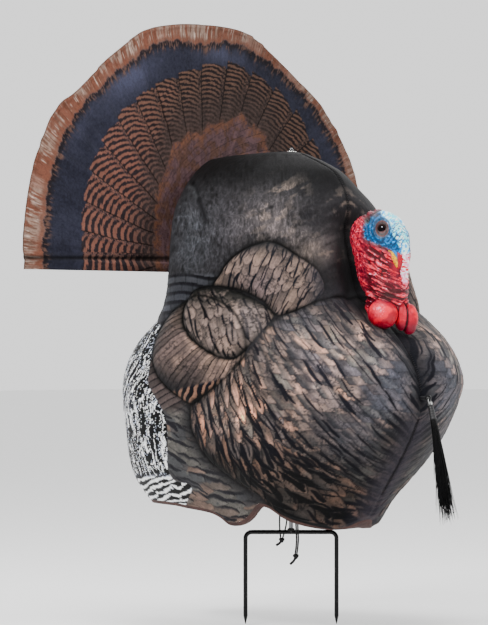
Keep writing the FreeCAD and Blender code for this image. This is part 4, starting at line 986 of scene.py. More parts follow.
def shell_mesh(side):
    """side -1 right, +1 left"""
    sx = 1.0 if side < 0 else -1.0
    parts_v, parts_f, parts_c = [], [], []
    base = 0

    def add(V, F, C):
        nonlocal base
        parts_v.append(V)
        parts_f.append(F + base)
        parts_c.append(np.broadcast_to(C, (len(V), 3)))
        base += len(V)
    fl = FLIP if side < 0 else not FLIP
    S = np.array([sx, 1, 1])
    add((PO * S).reshape(-1, 3), grid_faces(NJ, NI, not fl), col.reshape(-1, 3))
    ji = np.unique(np.round(np.linspace(0, NJ - 1, 90)).astype(int))
    ii = np.unique(np.round(np.linspace(0, NI - 1, 90)).astype(int))
    inner = (PIN * S)[np.ix_(ji, ii)]
    add(inner.reshape(-1, 3), grid_faces(len(ji), len(ii), fl), srgb(38, 37, 38))
    for e0, e1, f in ((PO[0], PIN[0], fl), (PO[-1], PIN[-1], not fl), (PO[:, 0], PIN[:, 0], not fl), (PO[:, -1], PIN[:, -1], fl)):
        V = np.stack([e0 * S, e1 * S], 0).reshape(-1, 3)
        add(V, grid_faces(2, len(e0), f), srgb(40, 37, 36))
    Va = np.concatenate(parts_v)
    return Va, drop_faces(Va, np.concatenate(parts_f)), np.concatenate(parts_c)


cloth = painted_cloth("plumage_print", rough=0.58, grain=0.30, weave=0.25, sheen=0.0, spec=0.05)
for side, nm in ((-1, "right"), (1, "left")):
    V, F, C = shell_mesh(side)
    sh = make_mesh("plumage_shell_" + nm, V, F, C, mat=cloth, body="decoy", rep=("body_shell_" + nm,))

# =====================================================================================
# fan: five printed gores stretched over the ribs; each gore lies just in front of its ribs
# =====================================================================================
HZ = 380.0
RIBS = [177.4, 142.2, 107.4, 72.6, 37.8, 2.6]
OUTL = [(180, 353), (171.3, 359), (162.1, 361), (152.6, 366), (147.6, 368), (142.2, 370), (139.3, 368), (136, 361), (130.1, 357.5), (122.4, 360), (113.8, 366),
        (107.4, 371), (99, 369), (90.2, 368), (82, 371), (75.9, 373), (71.6, 371), (63.8, 363), (55.4, 361), (47.2, 365), (37.8, 367), (30, 368), (23.7, 367),
        (16, 362), (8, 357), (0, 353)]
TIPIN = [(180, 316), (158.9, 324), (149, 333), (136.5, 335), (123.4, 334), (112.3, 339), (103.1, 346), (90.6, 338), (84.1, 346), (75.5, 351), (65.1, 349),
         (53.6, 350), (43.9, 354), (35.2, 353), (26.3, 350), (0, 330)]
BAROUT = [(180, 243), (156.9, 258), (134.8, 277), (111.2, 289), (100.6, 295), (90.7, 305), (74.2, 322), (61.6, 322), (42.7, 318), (33.5, 314), (0, 296)]
COVR = [(180, 92), (165, 100), (150, 112), (128.4, 146), (118.8, 163), (106.4, 193), (98, 202), (80.8, 223), (67.7, 248), (58.1, 240), (40, 200), (0, 150)]


def byang(tab, th):
    t = sorted(tab)
    return pchip([p[0] for p in t], [p[1] for p in t], th)


def worn(c):
    """dusty print: lifted browns, quieter tips"""
    g = c.mean(-1, keepdims=True)
    m = sstep(c[..., :1] - c[..., 2:3], 0.03, 0.10)
    c = c * (1 - 0.20 * m) + 0.20 * m * g * np.array([1.03, 0.98, 0.97])
    return c * (1 - m) * 0.97 + m * c * np.interp(g, [0.0, 0.20, 0.34, 0.44, 0.60, 1.0], [1.10, 1.20, 1.12, 0.94, 0.88, 0.90])


def fan_colour(th, R):
    """th in degrees from the left edge's far side, R in mm"""
    x, z = R * np.cos(np.radians(th)), R * np.sin(np.radians(th))
    n1 = fbm2(x / 3.0, z / 3.0, 101.0, 4)
    n2 = fbm2(x / 14.0, z / 14.0, 103.0, 4)
    n3 = fbm2(x / 60.0, z / 60.0, 105.0, 3)
    arc = np.radians(th) * R
    # feathers fan out from a point a little above the hub
    fa = np.degrees(np.arctan2(z - 25, x)) + 1.6 * (n3 - 0.5) + 0.5 * (n2 - 0.5)
    DA = 10.4
    fj = np.floor(fa / DA + 0.35)
    ff = fa / DA + 0.35 - fj
    rp = np.hypot(0.7071 * x, z - 25)
    lam = np.interp(th, [0, 60, 100, 140, 180], [6.6, 6.4, 6.9, 8.4, 9.6])
    bend = 6.0 * (ff - 0.5) ** 2 * 4 * (0.35 + 0.65 * hsh(fj, 4, 2)) - 5.0 * (ff - 0.5) * (hsh(fj, 8, 2) - 0.3) * 1.6
    ph = (rp + bend + 2.3 * (fbm2(arc / 9.0, R / 16.0, 111.0, 3) - 0.5) * 2 + 1.4 * (n1 - 0.5)) / lam + hsh(fj, 1, 5) * 3
    wave = 0.5 + 0.5 * np.sin(2 * np.pi * ph)
    inner = sstep(R - byang(COVR, th), 70, 10)          # washes out towards the coverts
    thr = 0.50 + 0.10 * (n2 - 0.5) * 2 + 0.06 * inner
    bars = sstep(wave + 0.35 * (n1 - 0.5), thr - 0.10, thr + 0.14)
    spec = sstep(ff, 0.26, 0.10)                        # speckled strip beside each shaft
    bars = bars * (1 - 0.65 * spec) + spec * sstep(fbm2(x / 1.7, z / 1.7, 117.0, 2), 0.50, 0.66) * 0.75
    leftness = sstep(th, 95, 140)
    orange = mixc(tone(104, 74, 60) + 0 * x[..., None], tone(166, 108, 90), np.clip(leftness * 0.95 + 0.5 * (n2 - 0.5), 0, 1))
    dark = mixc(tone(40, 33, 34) + 0 * x[..., None], tone(52, 43, 47), leftness)
    c = mixc(dark, orange, np.clip(bars, 0, 1) * (1 - 0.45 * inner))
    wash = tone(82, 64, 58) * (0.75 + 0.5 * n1)[..., None]
    c = mixc(c, wash, inner * 0.55)
    shaft = np.exp(-((ff * DA * np.radians(1) * R) / 1.0) ** 2) + np.exp(-(((1 - ff) * DA * np.radians(1) * R) / 0.8) ** 2)
    c = c * (1 - 0.62 * np.clip(shaft, 0, 1))[..., None]
    # coverts: chestnut edges round purplish middles
    cr = R - byang(COVR, th) + 9 * (n2 - 0.5) * 2 - 7 * np.abs(np.sin(np.radians(th) * 14.0))
    cj = np.floor(arc / 19.0 + 0.4 * np.floor(cr / 28.0))
    pur = mixc(tone(104, 76, 80) + 0 * x[..., None], tone(100, 68, 58), sstep(fbm2(x / 8, z / 8, 121.0), 0.46, 0.62))
    pur = pur * (0.7 + 0.5 * hsh(cj, np.floor(cr / 28.0), 2) * 0.6 + 0.35 * n1)[..., None]
    edge = np.exp(-((cr + 6) / 8.0) ** 2)
    pur = mixc(pur, tone(122, 78, 58), np.clip(edge * 1.1, 0, 1) * sstep(n1, 0.3, 0.55))
    gap = np.exp(-((arc / 19.0 + 0.4 * np.floor(cr / 28.0) - cj) * 19.0 / 1.1) ** 2)
    pur = pur * (1 - 0.5 * gap)[..., None]
    c = mixc(c, pur, sstep(cr, 3, -5))
    # navy band and tips: their barbs run straight outwards
    arc = np.radians(th) * 335.0
    fan_edge = byang(BAROUT, th) + 9.0 * (ff - 0.5) * (0.6 + 0.8 * hsh(fj, 2, 9)) + 3.0 * (n1 - 0.5) * 2 + 5 * np.abs(ff - 0.45) * -1.0
    navy = tone(45, 46, 61) * (0.82 + 0.34 * n1)[..., None]
    # painted sheen: paler blue-purple patches on the navy band
    navy_sheen = np.exp(-(((th - 117) / 11) ** 2 + ((R - 318) / 22) ** 2)) + 0.55 * np.exp(-(((th - 141) / 6) ** 2 + ((R - 318) / 14) ** 2)) + 0.8 * np.exp(-(((th - 84) / 9) ** 2 + ((R - 330) / 15) ** 2)) + 0.25 * sstep(n3, 0.5, 0.7)
    navy = mixc(navy, tone(82, 84, 106), np.clip(navy_sheen * 0.85, 0, 1))
    hair = 1 - np.abs(2 * fbm2(arc / 1.6, R / 26.0, 131.0, 3) - 1)
    navy = navy * (0.93 + 0.14 * hair)[..., None]
    c = mixc(c, navy, sstep(R - fan_edge, -1.2, 1.2))
    # tip band: cream and chestnut barbs, frayed into the navy
    out_r = byang(OUTL, th)
    ti = byang(TIPIN, th) + 5.0 * (fbm2(arc / 12.0, R * 0, 135.0, 3) - 0.5) * 2 + 5.0 * (hair - 0.6)
    barb = fbm2(arc / 2.6 + 0.12 * R * (fbm2(arc / 40, R * 0, 3.0) - 0.5), R / 34.0, 141.0, 4)
    patch = fbm2(arc / 17.0, R / 40.0, 143.0, 3)
    creamy = np.clip(sstep(barb * 0.62 + patch * 0.52, 0.49, 0.62), 0, 1)
    tip = mixc(tone(144, 88, 68) + 0 * x[..., None], tone(186, 158, 142), creamy)
    tip = mixc(tip, tone(104, 60, 42), sstep(fbm2(arc / 1.9, R / 20, 147.0, 3), 0.54, 0.66) * 0.70)
    tip = mixc(tip, tone(222, 208, 198), sstep(fbm2(arc / 1.1, R / 22, 149.0, 2), 0.70, 0.80) * 0.8)
    depth = (R - ti) / np.maximum(out_r - ti, 1)
    tip = mixc(tip, tone(140, 84, 64), np.exp(-((depth - 0.12) / 0.16) ** 2) * 0.75)
    rp_ = fbm2(arc / 30.0, R / 60, 151.0, 3)
    tip = mixc(tip, tone(176, 122, 102), sstep(rp_, 0.55, 0.7) * 0.5)
    c = mixc(c, tone(34, 26, 24), np.exp(-((R - ti + 3) / 6.0) ** 2) * 0.65)
    c = mixc(c, tone(124, 84, 66), np.exp(-((R - ti + 6) / 7.0) ** 2) * sstep(fbm2(arc / 2.2, R / 9, 157.0, 3) + 0.25 * (patch - 0.5), 0.52, 0.66) * 0.75)
    c = mixc(c, tip, sstep(R - ti, -1.6, 2.4))
    c = mixc(c, tone(70, 42, 32), np.exp(-((out_r - R) / 1.3) ** 2) * 0.75)
    # painted shade in the fold line along the bottom hem
    low = np.exp(-((z - 15.0 - 4 * sstep(x, -350, -60)) / 3.4) ** 2) * (x < 0) + 0.4 * np.exp(-((z - 14) / 3) ** 2) * (x > 0)
    c = c * (1 - 0.60 * low)[..., None]
    c = c * (0.92 + 0.16 * n1)[..., None]
    return to_paint(np.clip(worn(c) * (0.94 - 0.10 * sstep(th, 110, 70))[..., None], 0.0, 1.0), 1.12)


def fan_relief(th, R):
    """how far the cloth stands towards the front, mm"""
    A = sstep(R, 70, 190)
    arc = np.radians(th) * R
    h = np.zeros_like(R)
    for a in RIBS:
        d = np.radians(th - a) * R
        h = h + 1.3 * np.exp(-(d / 6.0) ** 2) - 0.7 * A * np.exp(-((np.abs(d) - 13.0) / 5.5) ** 2)
    w = fbm2(th / 6.5, R / 190.0, 161.0, 3)
    h = h + A * 4.6 * (w - 0.36)
    w2 = 1 - np.abs(2 * fbm2(th / 3.4 + R / 300.0, R / 140.0, 163.0, 2) - 1)
    h = h + A * 1.6 * (w2 - 0.6)
    for a0, r0, sl, amp in ((75.5, 250, -0.012, 3.4), (70.0, 260, 0.0, 2.2), (113.0, 280, 0.02, 2.0), (128.0, 320, -0.03, 1.6), (150.0, 300, 0.03, 1.6), (91, 310, 0.01, 1.4)):
        d = np.radians(th - a0 - sl * (R - r0)) * R
        h = h + amp * A * (np.exp(-(d / 7.0) ** 2) - 0.8 * np.exp(-((d + 12.0) / 6.0) ** 2))
    # folded hem along the bottom and the outer edge
    z = R * np.sin(np.radians(th))
    h = h + 0.9 * np.exp(-((z - 7.0) / 6.5) ** 4) + 1.0 * np.exp(-((byang(OUTL, th) - R - 3.2) / 3.0) ** 4)
    h = h - 1.2 * np.exp(-((z - 15.5) / 2.6) ** 2)
    return np.clip(h, -0.1, 5.0)


fan_cloth = painted_cloth("tail_print", rough=0.78, grain=0.20, weave=0.25, sheen=0.0, spec=0.05)
FW = []
NRf, NAf = 330, 176
span = [(180.0, 142.2), (142.2, 107.4), (107.4, 72.6), (72.6, 37.8), (37.8, 0.0)]
for i in range(5):
    a0, a1 = span[i]
    ra, rb = RIBS[i], RIBS[i + 1]
    u = np.linspace(0, 1, NAf)[None, :]
    v = np.linspace(0, 1, NRf)[:, None]
    th = a0 + (a1 - a0) * u + 0 * v
    R = 27.0 + (byang(OUTL, th) - 27.0) * v
    half = np.degrees(5.2 / R)
    lay = 2.6 * i + 2.6 * sstep(th, ra - half, rb + half)
    yf = 182.25 + lay - fan_relief(th, R)
    zf = np.maximum(R * np.sin(np.radians(th)), 0.0)
    X_, Z_ = R * np.cos(np.radians(th)), HZ + zf
    # the bottom hem drops a little below the hub's level
    Z_ = Z_ - 1.6 * sstep(zf, 6, 0) * sstep(R, 34, 60)
    front = np.stack([X_, yf, Z_], -1)
    back = np.stack([X_, yf + 0.6, Z_], -1)
    C = fan_colour(th, R)
    n = NRf * NAf
    F = [grid_faces(NRf, NAf), grid_faces(NRf, NAf, True, n)]
    idx = np.arange(n).reshape(NRf, NAf)
    for e, fl in ((idx[0], True), (idx[-1], False), (idx[:, 0], False), (idx[:, -1], True)):
        q = np.stack([e[:-1], e[1:], e[1:] + n, e[:-1] + n], -1)
        F.append(q[:, ::-1] if fl else q)
    V = np.concatenate([front.reshape(-1, 3), back.reshape(-1, 3)])
    F = np.concatenate(F)
    C2 = np.concatenate([C.reshape(-1, 3), C.reshape(-1, 3) * 0.62 + srgb(50, 42, 38) * 0.3])
    g = make_mesh("fan_cloth_%d" % (i + 1), V, F, C2, mat=fan_cloth, rep=("fan_gore_%d" % (i + 1),))
    mid_a = math.radians(rb)
    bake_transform(g)
    w = np.clip((ra - th) / (ra - rb), 0, 1).ravel()
    w = np.where(np.abs(w) < 1e-6, 0, w)
    areaf = 0.5 * math.radians(a0 - a1) * (float(np.mean(byang(OUTL, np.linspace(a1, a0, 40)) ** 2)) - 27.0 ** 2) * 1e-6

# =====================================================================================
# head: lofted skull and neck and the wattles joined by a fine remesh, then wrinkled and painted; the beak is remeshed
# on its own
# =====================================================================================
NP = np.array([0, -173.6, 313.5])
LEAN = math.radians(36)
AX = np.array([0, -math.sin(LEAN), math.cos(LEAN)])


def remeshed(parts, voxel, name="tmp"):
    V, F, _ = join_parts(parts)
    me = bpy.data.meshes.new(name)
    me.from_pydata([tuple(v * MM) for v in V], [], F)
    me.validate()
    ob = bpy.data.objects.new(name, me)
    sc.collection.objects.link(ob)
    md = ob.modifiers.new("r", "REMESH")
    md.mode = "VOXEL"
    md.voxel_size = voxel * MM
    md.adaptivity = 0.0
    ev = ob.evaluated_get(bpy.context.evaluated_depsgraph_get())
    m2 = ev.to_mesh()
    n = len(m2.vertices)
    co = np.zeros(n * 3, np.float32)
    m2.vertices.foreach_get("co", co)
    lt = np.zeros(len(m2.polygons), np.int32)
    m2.polygons.foreach_get("loop_total", lt)
    li = np.zeros(len(m2.loops), np.int32)
    m2.loops.foreach_get("vertex_index", li)
    ls = np.zeros(len(m2.polygons), np.int32)
    m2.polygons.foreach_get("loop_start", ls)
    q = ls[lt == 4][:, None] + np.arange(4)
    F4 = li[q]
    ev.to_mesh_clear()
    bpy.data.objects.remove(ob)
    bpy.data.meshes.remove(me)
    return co.reshape(-1, 3).astype(float) / MM, F4


def neighbours(n, F):
    e = np.concatenate([F[:, [0, 1]], F[:, [1, 2]], F[:, [2, 3]], F[:, [3, 0]]])
    e = np.concatenate([e, e[:, ::-1]])
    return e[:, 0], e[:, 1], np.maximum(np.bincount(e[:, 0], minlength=n), 1)


def relax(V, F, it, k=0.5, mask=None):
    a, b, d = neighbours(len(V), F)
    for _ in range(it):
        S = np.stack([np.bincount(a, V[b, i], len(V)) for i in range(3)], 1) / d[:, None]
        w = k if mask is None else (k * mask)[:, None]
        V = V + (S - V) * w
    return V


def vnormals(V, F):
    n = np.cross(V[F[:, 2]] - V[F[:, 0]], V[F[:, 3]] - V[F[:, 1]])
    N = np.stack([sum(np.bincount(F[:, k], n[:, i], len(V)) for k in range(4)) for i in range(3)], 1)
    return N / (np.linalg.norm(N, axis=1)[:, None] + 1e-12)


def loft(secs, n=48, m=6):
    """secs: (centre, normal, a, b) ellipses, a along X; smooth between them"""
    C = np.array([s[0] for s in secs], float)
    Nn = np.array([np.array(s[1], float) / np.linalg.norm(s[1]) for s in secs])
    A, B = np.array([s[2] for s in secs], float), np.array([s[3] for s in secs], float)
    t = np.arange(len(secs))
    tq = np.linspace(0, len(secs) - 1, (len(secs) - 1) * m + 1)
    Cq = np.stack([pchip(t, C[:, k], tq) for k in range(3)], 1)
    Nq = np.stack([np.interp(tq, t, Nn[:, k]) for k in range(3)], 1)
    Aq, Bq = pchip(t, A, tq), pchip(t, B, tq)
    a = np.arange(n) / n * 2 * np.pi
    X1 = np.array([1.0, 0, 0])
    Y1 = np.cross(Nq, X1)
    Y1 /= np.linalg.norm(Y1, axis=1)[:, None]
    V = Cq[:, None] + X1[None, None] * (Aq[:, None, None] * np.cos(a)[None, :, None]) + Y1[:, None] * (Bq[:, None, None] * np.sin(a)[None, :, None])
    F = [tuple(f) for f in grid_faces(len(tq), n, wrap=True)]
    F.append(tuple(range(n))[::-1])
    F.append(tuple((len(tq) - 1) * n + k for k in range(n)))
    return V.reshape(-1, 3), F


def ball(c, r, n=28, sq=(1, 1, 1), rot=None):
    th = np.linspace(0, np.pi, n)
    P = [(np.array([0, 0, 1.0]))]
    V = []
    for k in range(1, n - 1):
        for j in range(2 * n):
            a = j / (2 * n) * 2 * np.pi
            V.append((math.sin(th[k]) * math.cos(a), math.sin(th[k]) * math.sin(a), math.cos(th[k])))
    V = [(0, 0, 1.0)] + V + [(0, 0, -1.0)]
    V = np.array(V) * r * np.array(sq)
    if rot is not None:
        V = V @ np.array(rot.to_3x3()).T
    m = 2 * n
    F = [(0, 1 + (j + 1) % m, 1 + j)[::-1] for j in range(m)]
    for k in range(n - 3):
        for j in range(m):
            a = 1 + k * m + j
            b = 1 + k * m + (j + 1) % m
            F.append((a, a + m, b + m, b))
    last = len(V) - 1
    F += [(last, 1 + (n - 3) * m + j, 1 + (n - 3) * m + (j + 1) % m)[::-1] for j in range(m)]
    return V + np.array(c), F


root = NP + AX * 3.7
SECS = [(root, AX, 20.0, 19.0), ((0, -182.5, 325), (0, -0.42, 1), 22.5, 23), ((0, -189.5, 337), (0, -0.2, 1), 24, 28.5),
        ((0, -186.4, 355.8), (0, 0, 1), 26, 37), ((0, -181.0, 376), (0, 0, 1), 26.5, 39.8), ((0, -181.5, 395.3), (0, 0, 1), 29, 44),
        ((0, -178.0, 419.3), (0, 0, 1), 32, 47.5), ((0, -174.5, 437.7), (0, 0, 1), 30, 42), ((0, -175.6, 453.5), (0, 0, 1), 21.5, 29.5),
        ((0, -177.0, 461), (0, 0, 1), 12, 17), ((0, -177.5, 464.5), (0, 0, 1), 4, 6)]
EYEC = np.array([-18.8, -200.0, 434.5])
BALLS = [((-16.5, -199.0, 314.5), 20.3, (1, 1, 0.98)), ((5.0, -214.5, 310.5), 12.0, (0.66, 0.85, 1.55)), ((17.0, -218.5, 307.5), 13.5, (0.90, 0.82, 1.55))]
parts = [loft(SECS)] + [ball(c, r, sq=q) for c, r, q in BALLS]
# the wattles' necks run up into the throat
parts.append(tube_mesh([(-15, -199, 318), (-10, -200, 334), (-6, -198, 350)], [13, 11, 9], 20))
parts.append(tube_mesh([(4, -212, 318), (4, -208, 334), (3, -202, 350)], [8, 7.5, 8], 16))
parts.append(tube_mesh([(15, -214, 318), (11, -208, 334), (7, -200, 350)], [9, 8, 8], 16))
HV, HF = remeshed(parts, 1.05)
HV = relax(HV, HF, 1, 0.3)
HV[:, 2] = np.where(HV[:, 2] > 430, 430 + (HV[:, 2] - 430) * 0.88, HV[:, 2])
HN = vnormals(HV, HF)
if np.mean(((HV - np.array([0, -183, 390])) * HN).sum(1)) < 0:
    HF = HF[:, ::-1]
    HN = -HN


def hpx(V):
    W = V.copy()
    W[:, 0] = -np.abs(W[:, 0])
    return project(W)


def head_fields(V, N, kind):
    """paint and relief for a point of the head, in picture coordinates of its right side; kind is not used"""
    u, v = hpx(V)
    x, y, z = V.T
    n1 = fbm2(u / 1.3 + 0.3 * z * 0, v / 1.3, 201.0, 4)
    n3 = noise3(x / 2.6, y / 2.6, z / 2.6, 207.0) * 0.6 + noise3(x / 1.3, y / 1.3, z / 1.3, 209.0) * 0.4
    big = noise3(x / 8.0, y / 8.0, z / 8.0, 211.0)
    return u, v, n1, n3, big


u, v, n1, n3, big = head_fields(HV, HN, "head")
x, y, z = HV.T
# nearest wattle ball
dbs = np.sort([np.linalg.norm((HV - np.array(c)) / np.array(q), axis=1) - r for c, r, q in BALLS], axis=0)
db = dbs[0]
lobe_gap = 1 - sstep(dbs[1] - dbs[0], 0.6, 3.4)
wattle = sstep(db, 2.6, 0.6) * sstep(v, 298, 304)
# ---- zones in picture coordinates
blueP = smooth_poly([(371, 216), (377, 212.5), (383, 212), (388, 219), (394, 229), (399, 240), (401, 250), (401, 257), (397, 255), (392, 250.5), (384, 246.5),
                     (375, 243), (368, 240), (364.5, 235), (365, 227), (368, 221)])
whiteP = smooth_poly([(380.5, 213), (379, 205), (390, 200), (415, 205), (425, 240), (420, 258), (408, 258.5), (401.5, 257.5), (399.5, 250), (396, 241), (391, 232.5),
                      (386, 224), (382, 217)])
dB, dW = sdf(blueP, u, v), sdf(whiteP, u, v)
eyed = np.hypot((u - 382.2) / 1.0, (v - 228.8) / 1.25)
blue_m = sstep(dB + 2.2 * (n1 - 0.5) * 2, -1.4, 1.2)
white_m = sstep(dW + 1.6 * (n1 - 0.5) * 2, -1.0, 1.0)
# ---- wrinkles: long folds that run down and forward over the neck, fine pebbling on the back of the neck, cracks on the crown
ca, sa = math.cos(math.radians(43)), math.sin(math.radians(43))
pu = (u - 360) * ca + (v - 250) * sa
pv = -(u - 360) * sa + (v - 250) * ca + 0.0035 * (u - 356) ** 2 + 0.004 * (v - 262) * (u - 372) * sstep(v, 262, 290)
w1 = fbm2(pu / 14.0 + 0.6 * fbm2(pu / 6, pv / 5, 220.0), pv / 2.15 + 2.0 * fbm2(pu / 9, pv / 9, 221.0), 223.0, 3)
fold = 1 - np.abs(2 * w1 - 1)
fold = sstep(fold, 0.45, 0.98)
w2 = 1 - np.abs(2 * fbm2(pu / 5.0, pv / 1.5, 227.0, 3) - 1)
pebble = 1 - np.abs(2 * noise3(x / 2.7, y / 3.0, z / 3.6, 229.0) - 1)
backn = sstep(u, 371, 361)
neckm = np.clip(1 - blue_m - white_m, 0, 1) * (1 - wattle)
rel = neckm * ((1 - backn) * (2.2 * (1 - fold) + 0.9 * w2) + backn * (1.2 * pebble + 0.9 * (1 - fold)) + 0.6 * n3)
# crown: irregular cracks; face: small bumps round the eye in rings
ringn = np.sin(eyed * 1.9 + 5 * fbm2(u / 4, v / 4, 231.0))
crack = np.abs(2 * fbm2(u / 3.2, v / 4.4, 233.0, 3) - 1)
crackm = 1 - sstep(crack, 0.05, 0.20)
rel = rel + white_m * (0.9 - 0.9 * crackm + 0.5 * n3) + blue_m * (1 - white_m) * (0.45 + 0.35 * ringn * sstep(eyed, 5, 7) + 0.5 * n3)
# wattles: smooth with shallow dents
dent = sstep(noise3(x / 5.5, y / 5.5, z / 5.5, 235.0), 0.63, 0.74)
rel = rel * (1 - wattle) + wattle * (0.9 - 0.6 * dent + 0.25 * n3 - 1.3 * lobe_gap)
# brow and socket
rel = rel - 1.2 * np.exp(-(eyed / 6.5) ** 4) + 1.3 * np.exp(-((eyed - 8.4) / 1.7) ** 2)
# ear hollow
rel = rel - 2.0 * np.exp(-(((u - 367.3) / 2.6) ** 2 + ((v - 220.3) / 3.0) ** 2))
HV2 = HV + HN * rel[:, None]
cut = np.einsum("ij,j->i", HV2 - NP, AX)
# ---- colours
one = 0 * x[:, None]
# the skin's red, with painted shade in the wrinkles' grooves and painted highlights, pink to near white, on their
# ridges
ridge_light = sstep(1 - fold + 0.30 * (n1 - 0.5), 0.12, 0.66)
cc = mixc(tone(84, 8, 14) + one, tone(206, 46, 50), ridge_light)
cc = mixc(cc, tone(238, 128, 120), sstep(ridge_light * 0.62 + w2 * 0.42 + 0.35 * (n1 - 0.5), 0.80, 1.02) * 0.85)
cc = mixc(cc, tone(252, 214, 210), sstep(ridge_light * 0.5 + w2 * 0.5 + 0.6 * (n1 - 0.5), 0.98, 1.12) * 0.7)
cc = mixc(cc, tone(112, 40, 44), sstep(big, 0.58, 0.76) * 0.30 * sstep(v, 240, 250))
# painted shade under the chin
cc = mixc(cc, tone(60, 30, 32), np.exp(-(((u - 389) / 8) ** 2 + ((v - 295) / 4.5) ** 2)) * 0.70)
# back of the neck: the pebbles' red with painted shade in their hollows and painted highlights on their tops
bk = backn * neckm
cc = mixc(cc, mixc(tone(120, 14, 22) + one, tone(212, 60, 62), sstep(pebble, 0.50, 0.88)), bk * 0.80)
cc = mixc(cc, tone(244, 160, 152), bk * sstep(pebble + 0.4 * (n1 - 0.5), 0.90, 1.02) * 0.8)
# dark line below the face
cc = mixc(cc, tone(84, 22, 34), np.exp(-((dB + 2.2) / 1.7) ** 2) * 0.62 * neckm * sstep(v, 232, 240))
cc = mixc(cc, tone(120, 74, 96), np.exp(-((dB + 1.0) / 1.2) ** 2) * 0.5 * neckm)
# red round the beak's root
cc = mixc(cc, tone(206, 44, 50), np.exp(-(((u - 395) / 4.5) ** 2 + ((v - 268) / 12) ** 2)) * 0.75 * neckm)
bl = mixc(tone(0, 78, 126) + one, tone(18, 128, 180), sstep(n3 + 0.3 * ringn * 0.5, 0.38, 0.66))
bl = mixc(bl, tone(0, 44, 80), sstep(n1, 0.52, 0.38) * 0.55)
bl = mixc(bl, tone(130, 200, 228), sstep(n1 * n3, 0.36, 0.47) * 0.45)
cc = mixc(cc, bl, blue_m)
wh = mixc(tone(188, 222, 240) + one, tone(234, 244, 250), sstep(n3, 0.35, 0.6))
crack2 = np.abs(2 * fbm2(u / 3.0 + 0.25 * v, v / 3.4, 239.0, 3) - 1)
ck2 = 1 - sstep(crack2, 0.07, 0.24)
wh = mixc(wh, tone(62, 146, 194), np.clip(crackm * 0.9 + sstep(n1, 0.52, 0.66) * 0.65, 0, 1) * (0.35 + 0.65 * sstep(dW, 12, 1)))
nz_w = np.exp(-(((u - 397) / 7.5) ** 2 + ((v - 234) / 13) ** 2))
wh = mixc(wh, tone(16, 62, 104), ck2 * np.clip(nz_w * 1.25, 0, 0.92))
cc = mixc(cc, wh, white_m)
# eyelid: a brownish ring with a dark rim
ring = sstep(eyed, 7.2, 6.2)
cc = mixc(cc, tone(98, 48, 48), ring)
cc = mixc(cc, tone(112, 60, 58), np.exp(-((eyed - 5.9) / 0.7) ** 2) * sstep(v, 229, 232) * 0.6)
cc = mixc(cc, tone(24, 16, 20), np.exp(-((eyed - 4.6) / 0.9) ** 2) * 0.95)
cc = mixc(cc, tone(16, 50, 80), np.exp(-((eyed - 7.8) / 0.8) ** 2) * 0.65)
# ear and the streaks behind it
cc = mixc(cc, tone(18, 17, 22), np.exp(-(((u - 367.2) / 2.9) ** 2 + ((v - 220.3) / 3.2) ** 2)) * 1.0)
st = sstep(np.sin((u * 0.55 + v) * 1.6 + 3 * n1), 0.0, 0.7) * sstep(v, 219, 214) * sstep(u, 384, 378)
cc = mixc(cc, tone(110, 26, 34), sstep(v, 220, 214) * sstep(u, 381, 374) * 0.75)
cc = mixc(cc, tone(24, 16, 22), st * 0.75)
wt = mixc(tone(176, 26, 34) + one, tone(208, 48, 52), sstep(big, 0.4, 0.7))
# painted highlights on the big lobe's upper front and on the front lobe
wattle_highlight = np.exp(-(((u - 379) / 8.5) ** 2 + ((v - 310) / 7.5) ** 2)) + 0.45 * np.exp(-(((u - 403) / 4) ** 2 + ((v - 314) / 8) ** 2))
wt = mixc(wt, tone(240, 142, 130), np.clip(wattle_highlight * (0.35 + 0.9 * n1), 0, 1) * 0.80)
wt = mixc(wt, tone(252, 206, 198), np.clip(wattle_highlight - 0.35, 0, 1) * sstep(n1, 0.55, 0.68) * 0.8)
wt = mixc(wt, tone(186, 34, 40), dent * 0.6)
# painted shade on the wattles' bottom and rear
wt = mixc(wt, tone(118, 12, 20), np.clip(sstep(v, 320, 329) * 0.75 + sstep(u, 371.5, 367.5) * 0.4, 0, 1))
# painted shade under the chin
wt = mixc(wt, tone(92, 44, 46), np.exp(-(((u - 388) / 9) ** 2 + ((v - 300) / 2.6) ** 2)) * 0.75)
# painted shade in the creases between the lobes
wt = mixc(wt, tone(48, 6, 10), lobe_gap * 0.90)
cc = mixc(cc, wt, wattle)
# painted shade where the wattles meet the throat
gap = sstep(np.abs(db - 1.6), 1.6, 0.2) * sstep(v, 298, 303)
cc = mixc(cc, tone(70, 10, 16), gap * 0.6)


def crimson(c):
    """reds lean to crimson, not orange; the yellow beak is left alone"""
    c = np.array(c)
    m = sstep(c[..., 0] - c[..., 2], 0.20, 0.42) * sstep(c[..., 0] - c[..., 1], 0.20, 0.35)
    c[..., 2] += 0.060 * m
    c[..., 1] -= 0.006 * m
    p = sstep(c.min(-1), 0.50, 0.68)
    c[..., 0] -= 0.030 * p
    c[..., 2] += 0.050 * p
    return c


cc = to_paint(np.clip(crimson(cc), 0, 1), 1.0)

vinyl, nt, bs = new_mat("painted_vinyl_skin")
at = nt.nodes.new("ShaderNodeAttribute")
at.attribute_name = "Col"
nn = tex_noise(nt, 700.0, 4.0, 0.65)
g = ramp(nt, nn, [(0.3, (0.9,) * 3), (0.7, (1.08,) * 3)])
nt.links.new(mixrgb(nt, "MULTIPLY", 1.0, at.outputs["Color"], g), bs.inputs["Base Color"])
nt.links.new(ramp(nt, nn, [(0.3, (0.34,) * 3), (0.7, (0.52,) * 3)]), bs.inputs["Roughness"])
bs.inputs["Specular IOR Level"].default_value = 0.20
bs.inputs["Coat Weight"].default_value = 0.04
bs.inputs["Coat Roughness"].default_value = 0.2
bs.inputs["Subsurface Weight"].default_value = 0.0
bump(nt, bs, nn, 0.25, 0.0004)

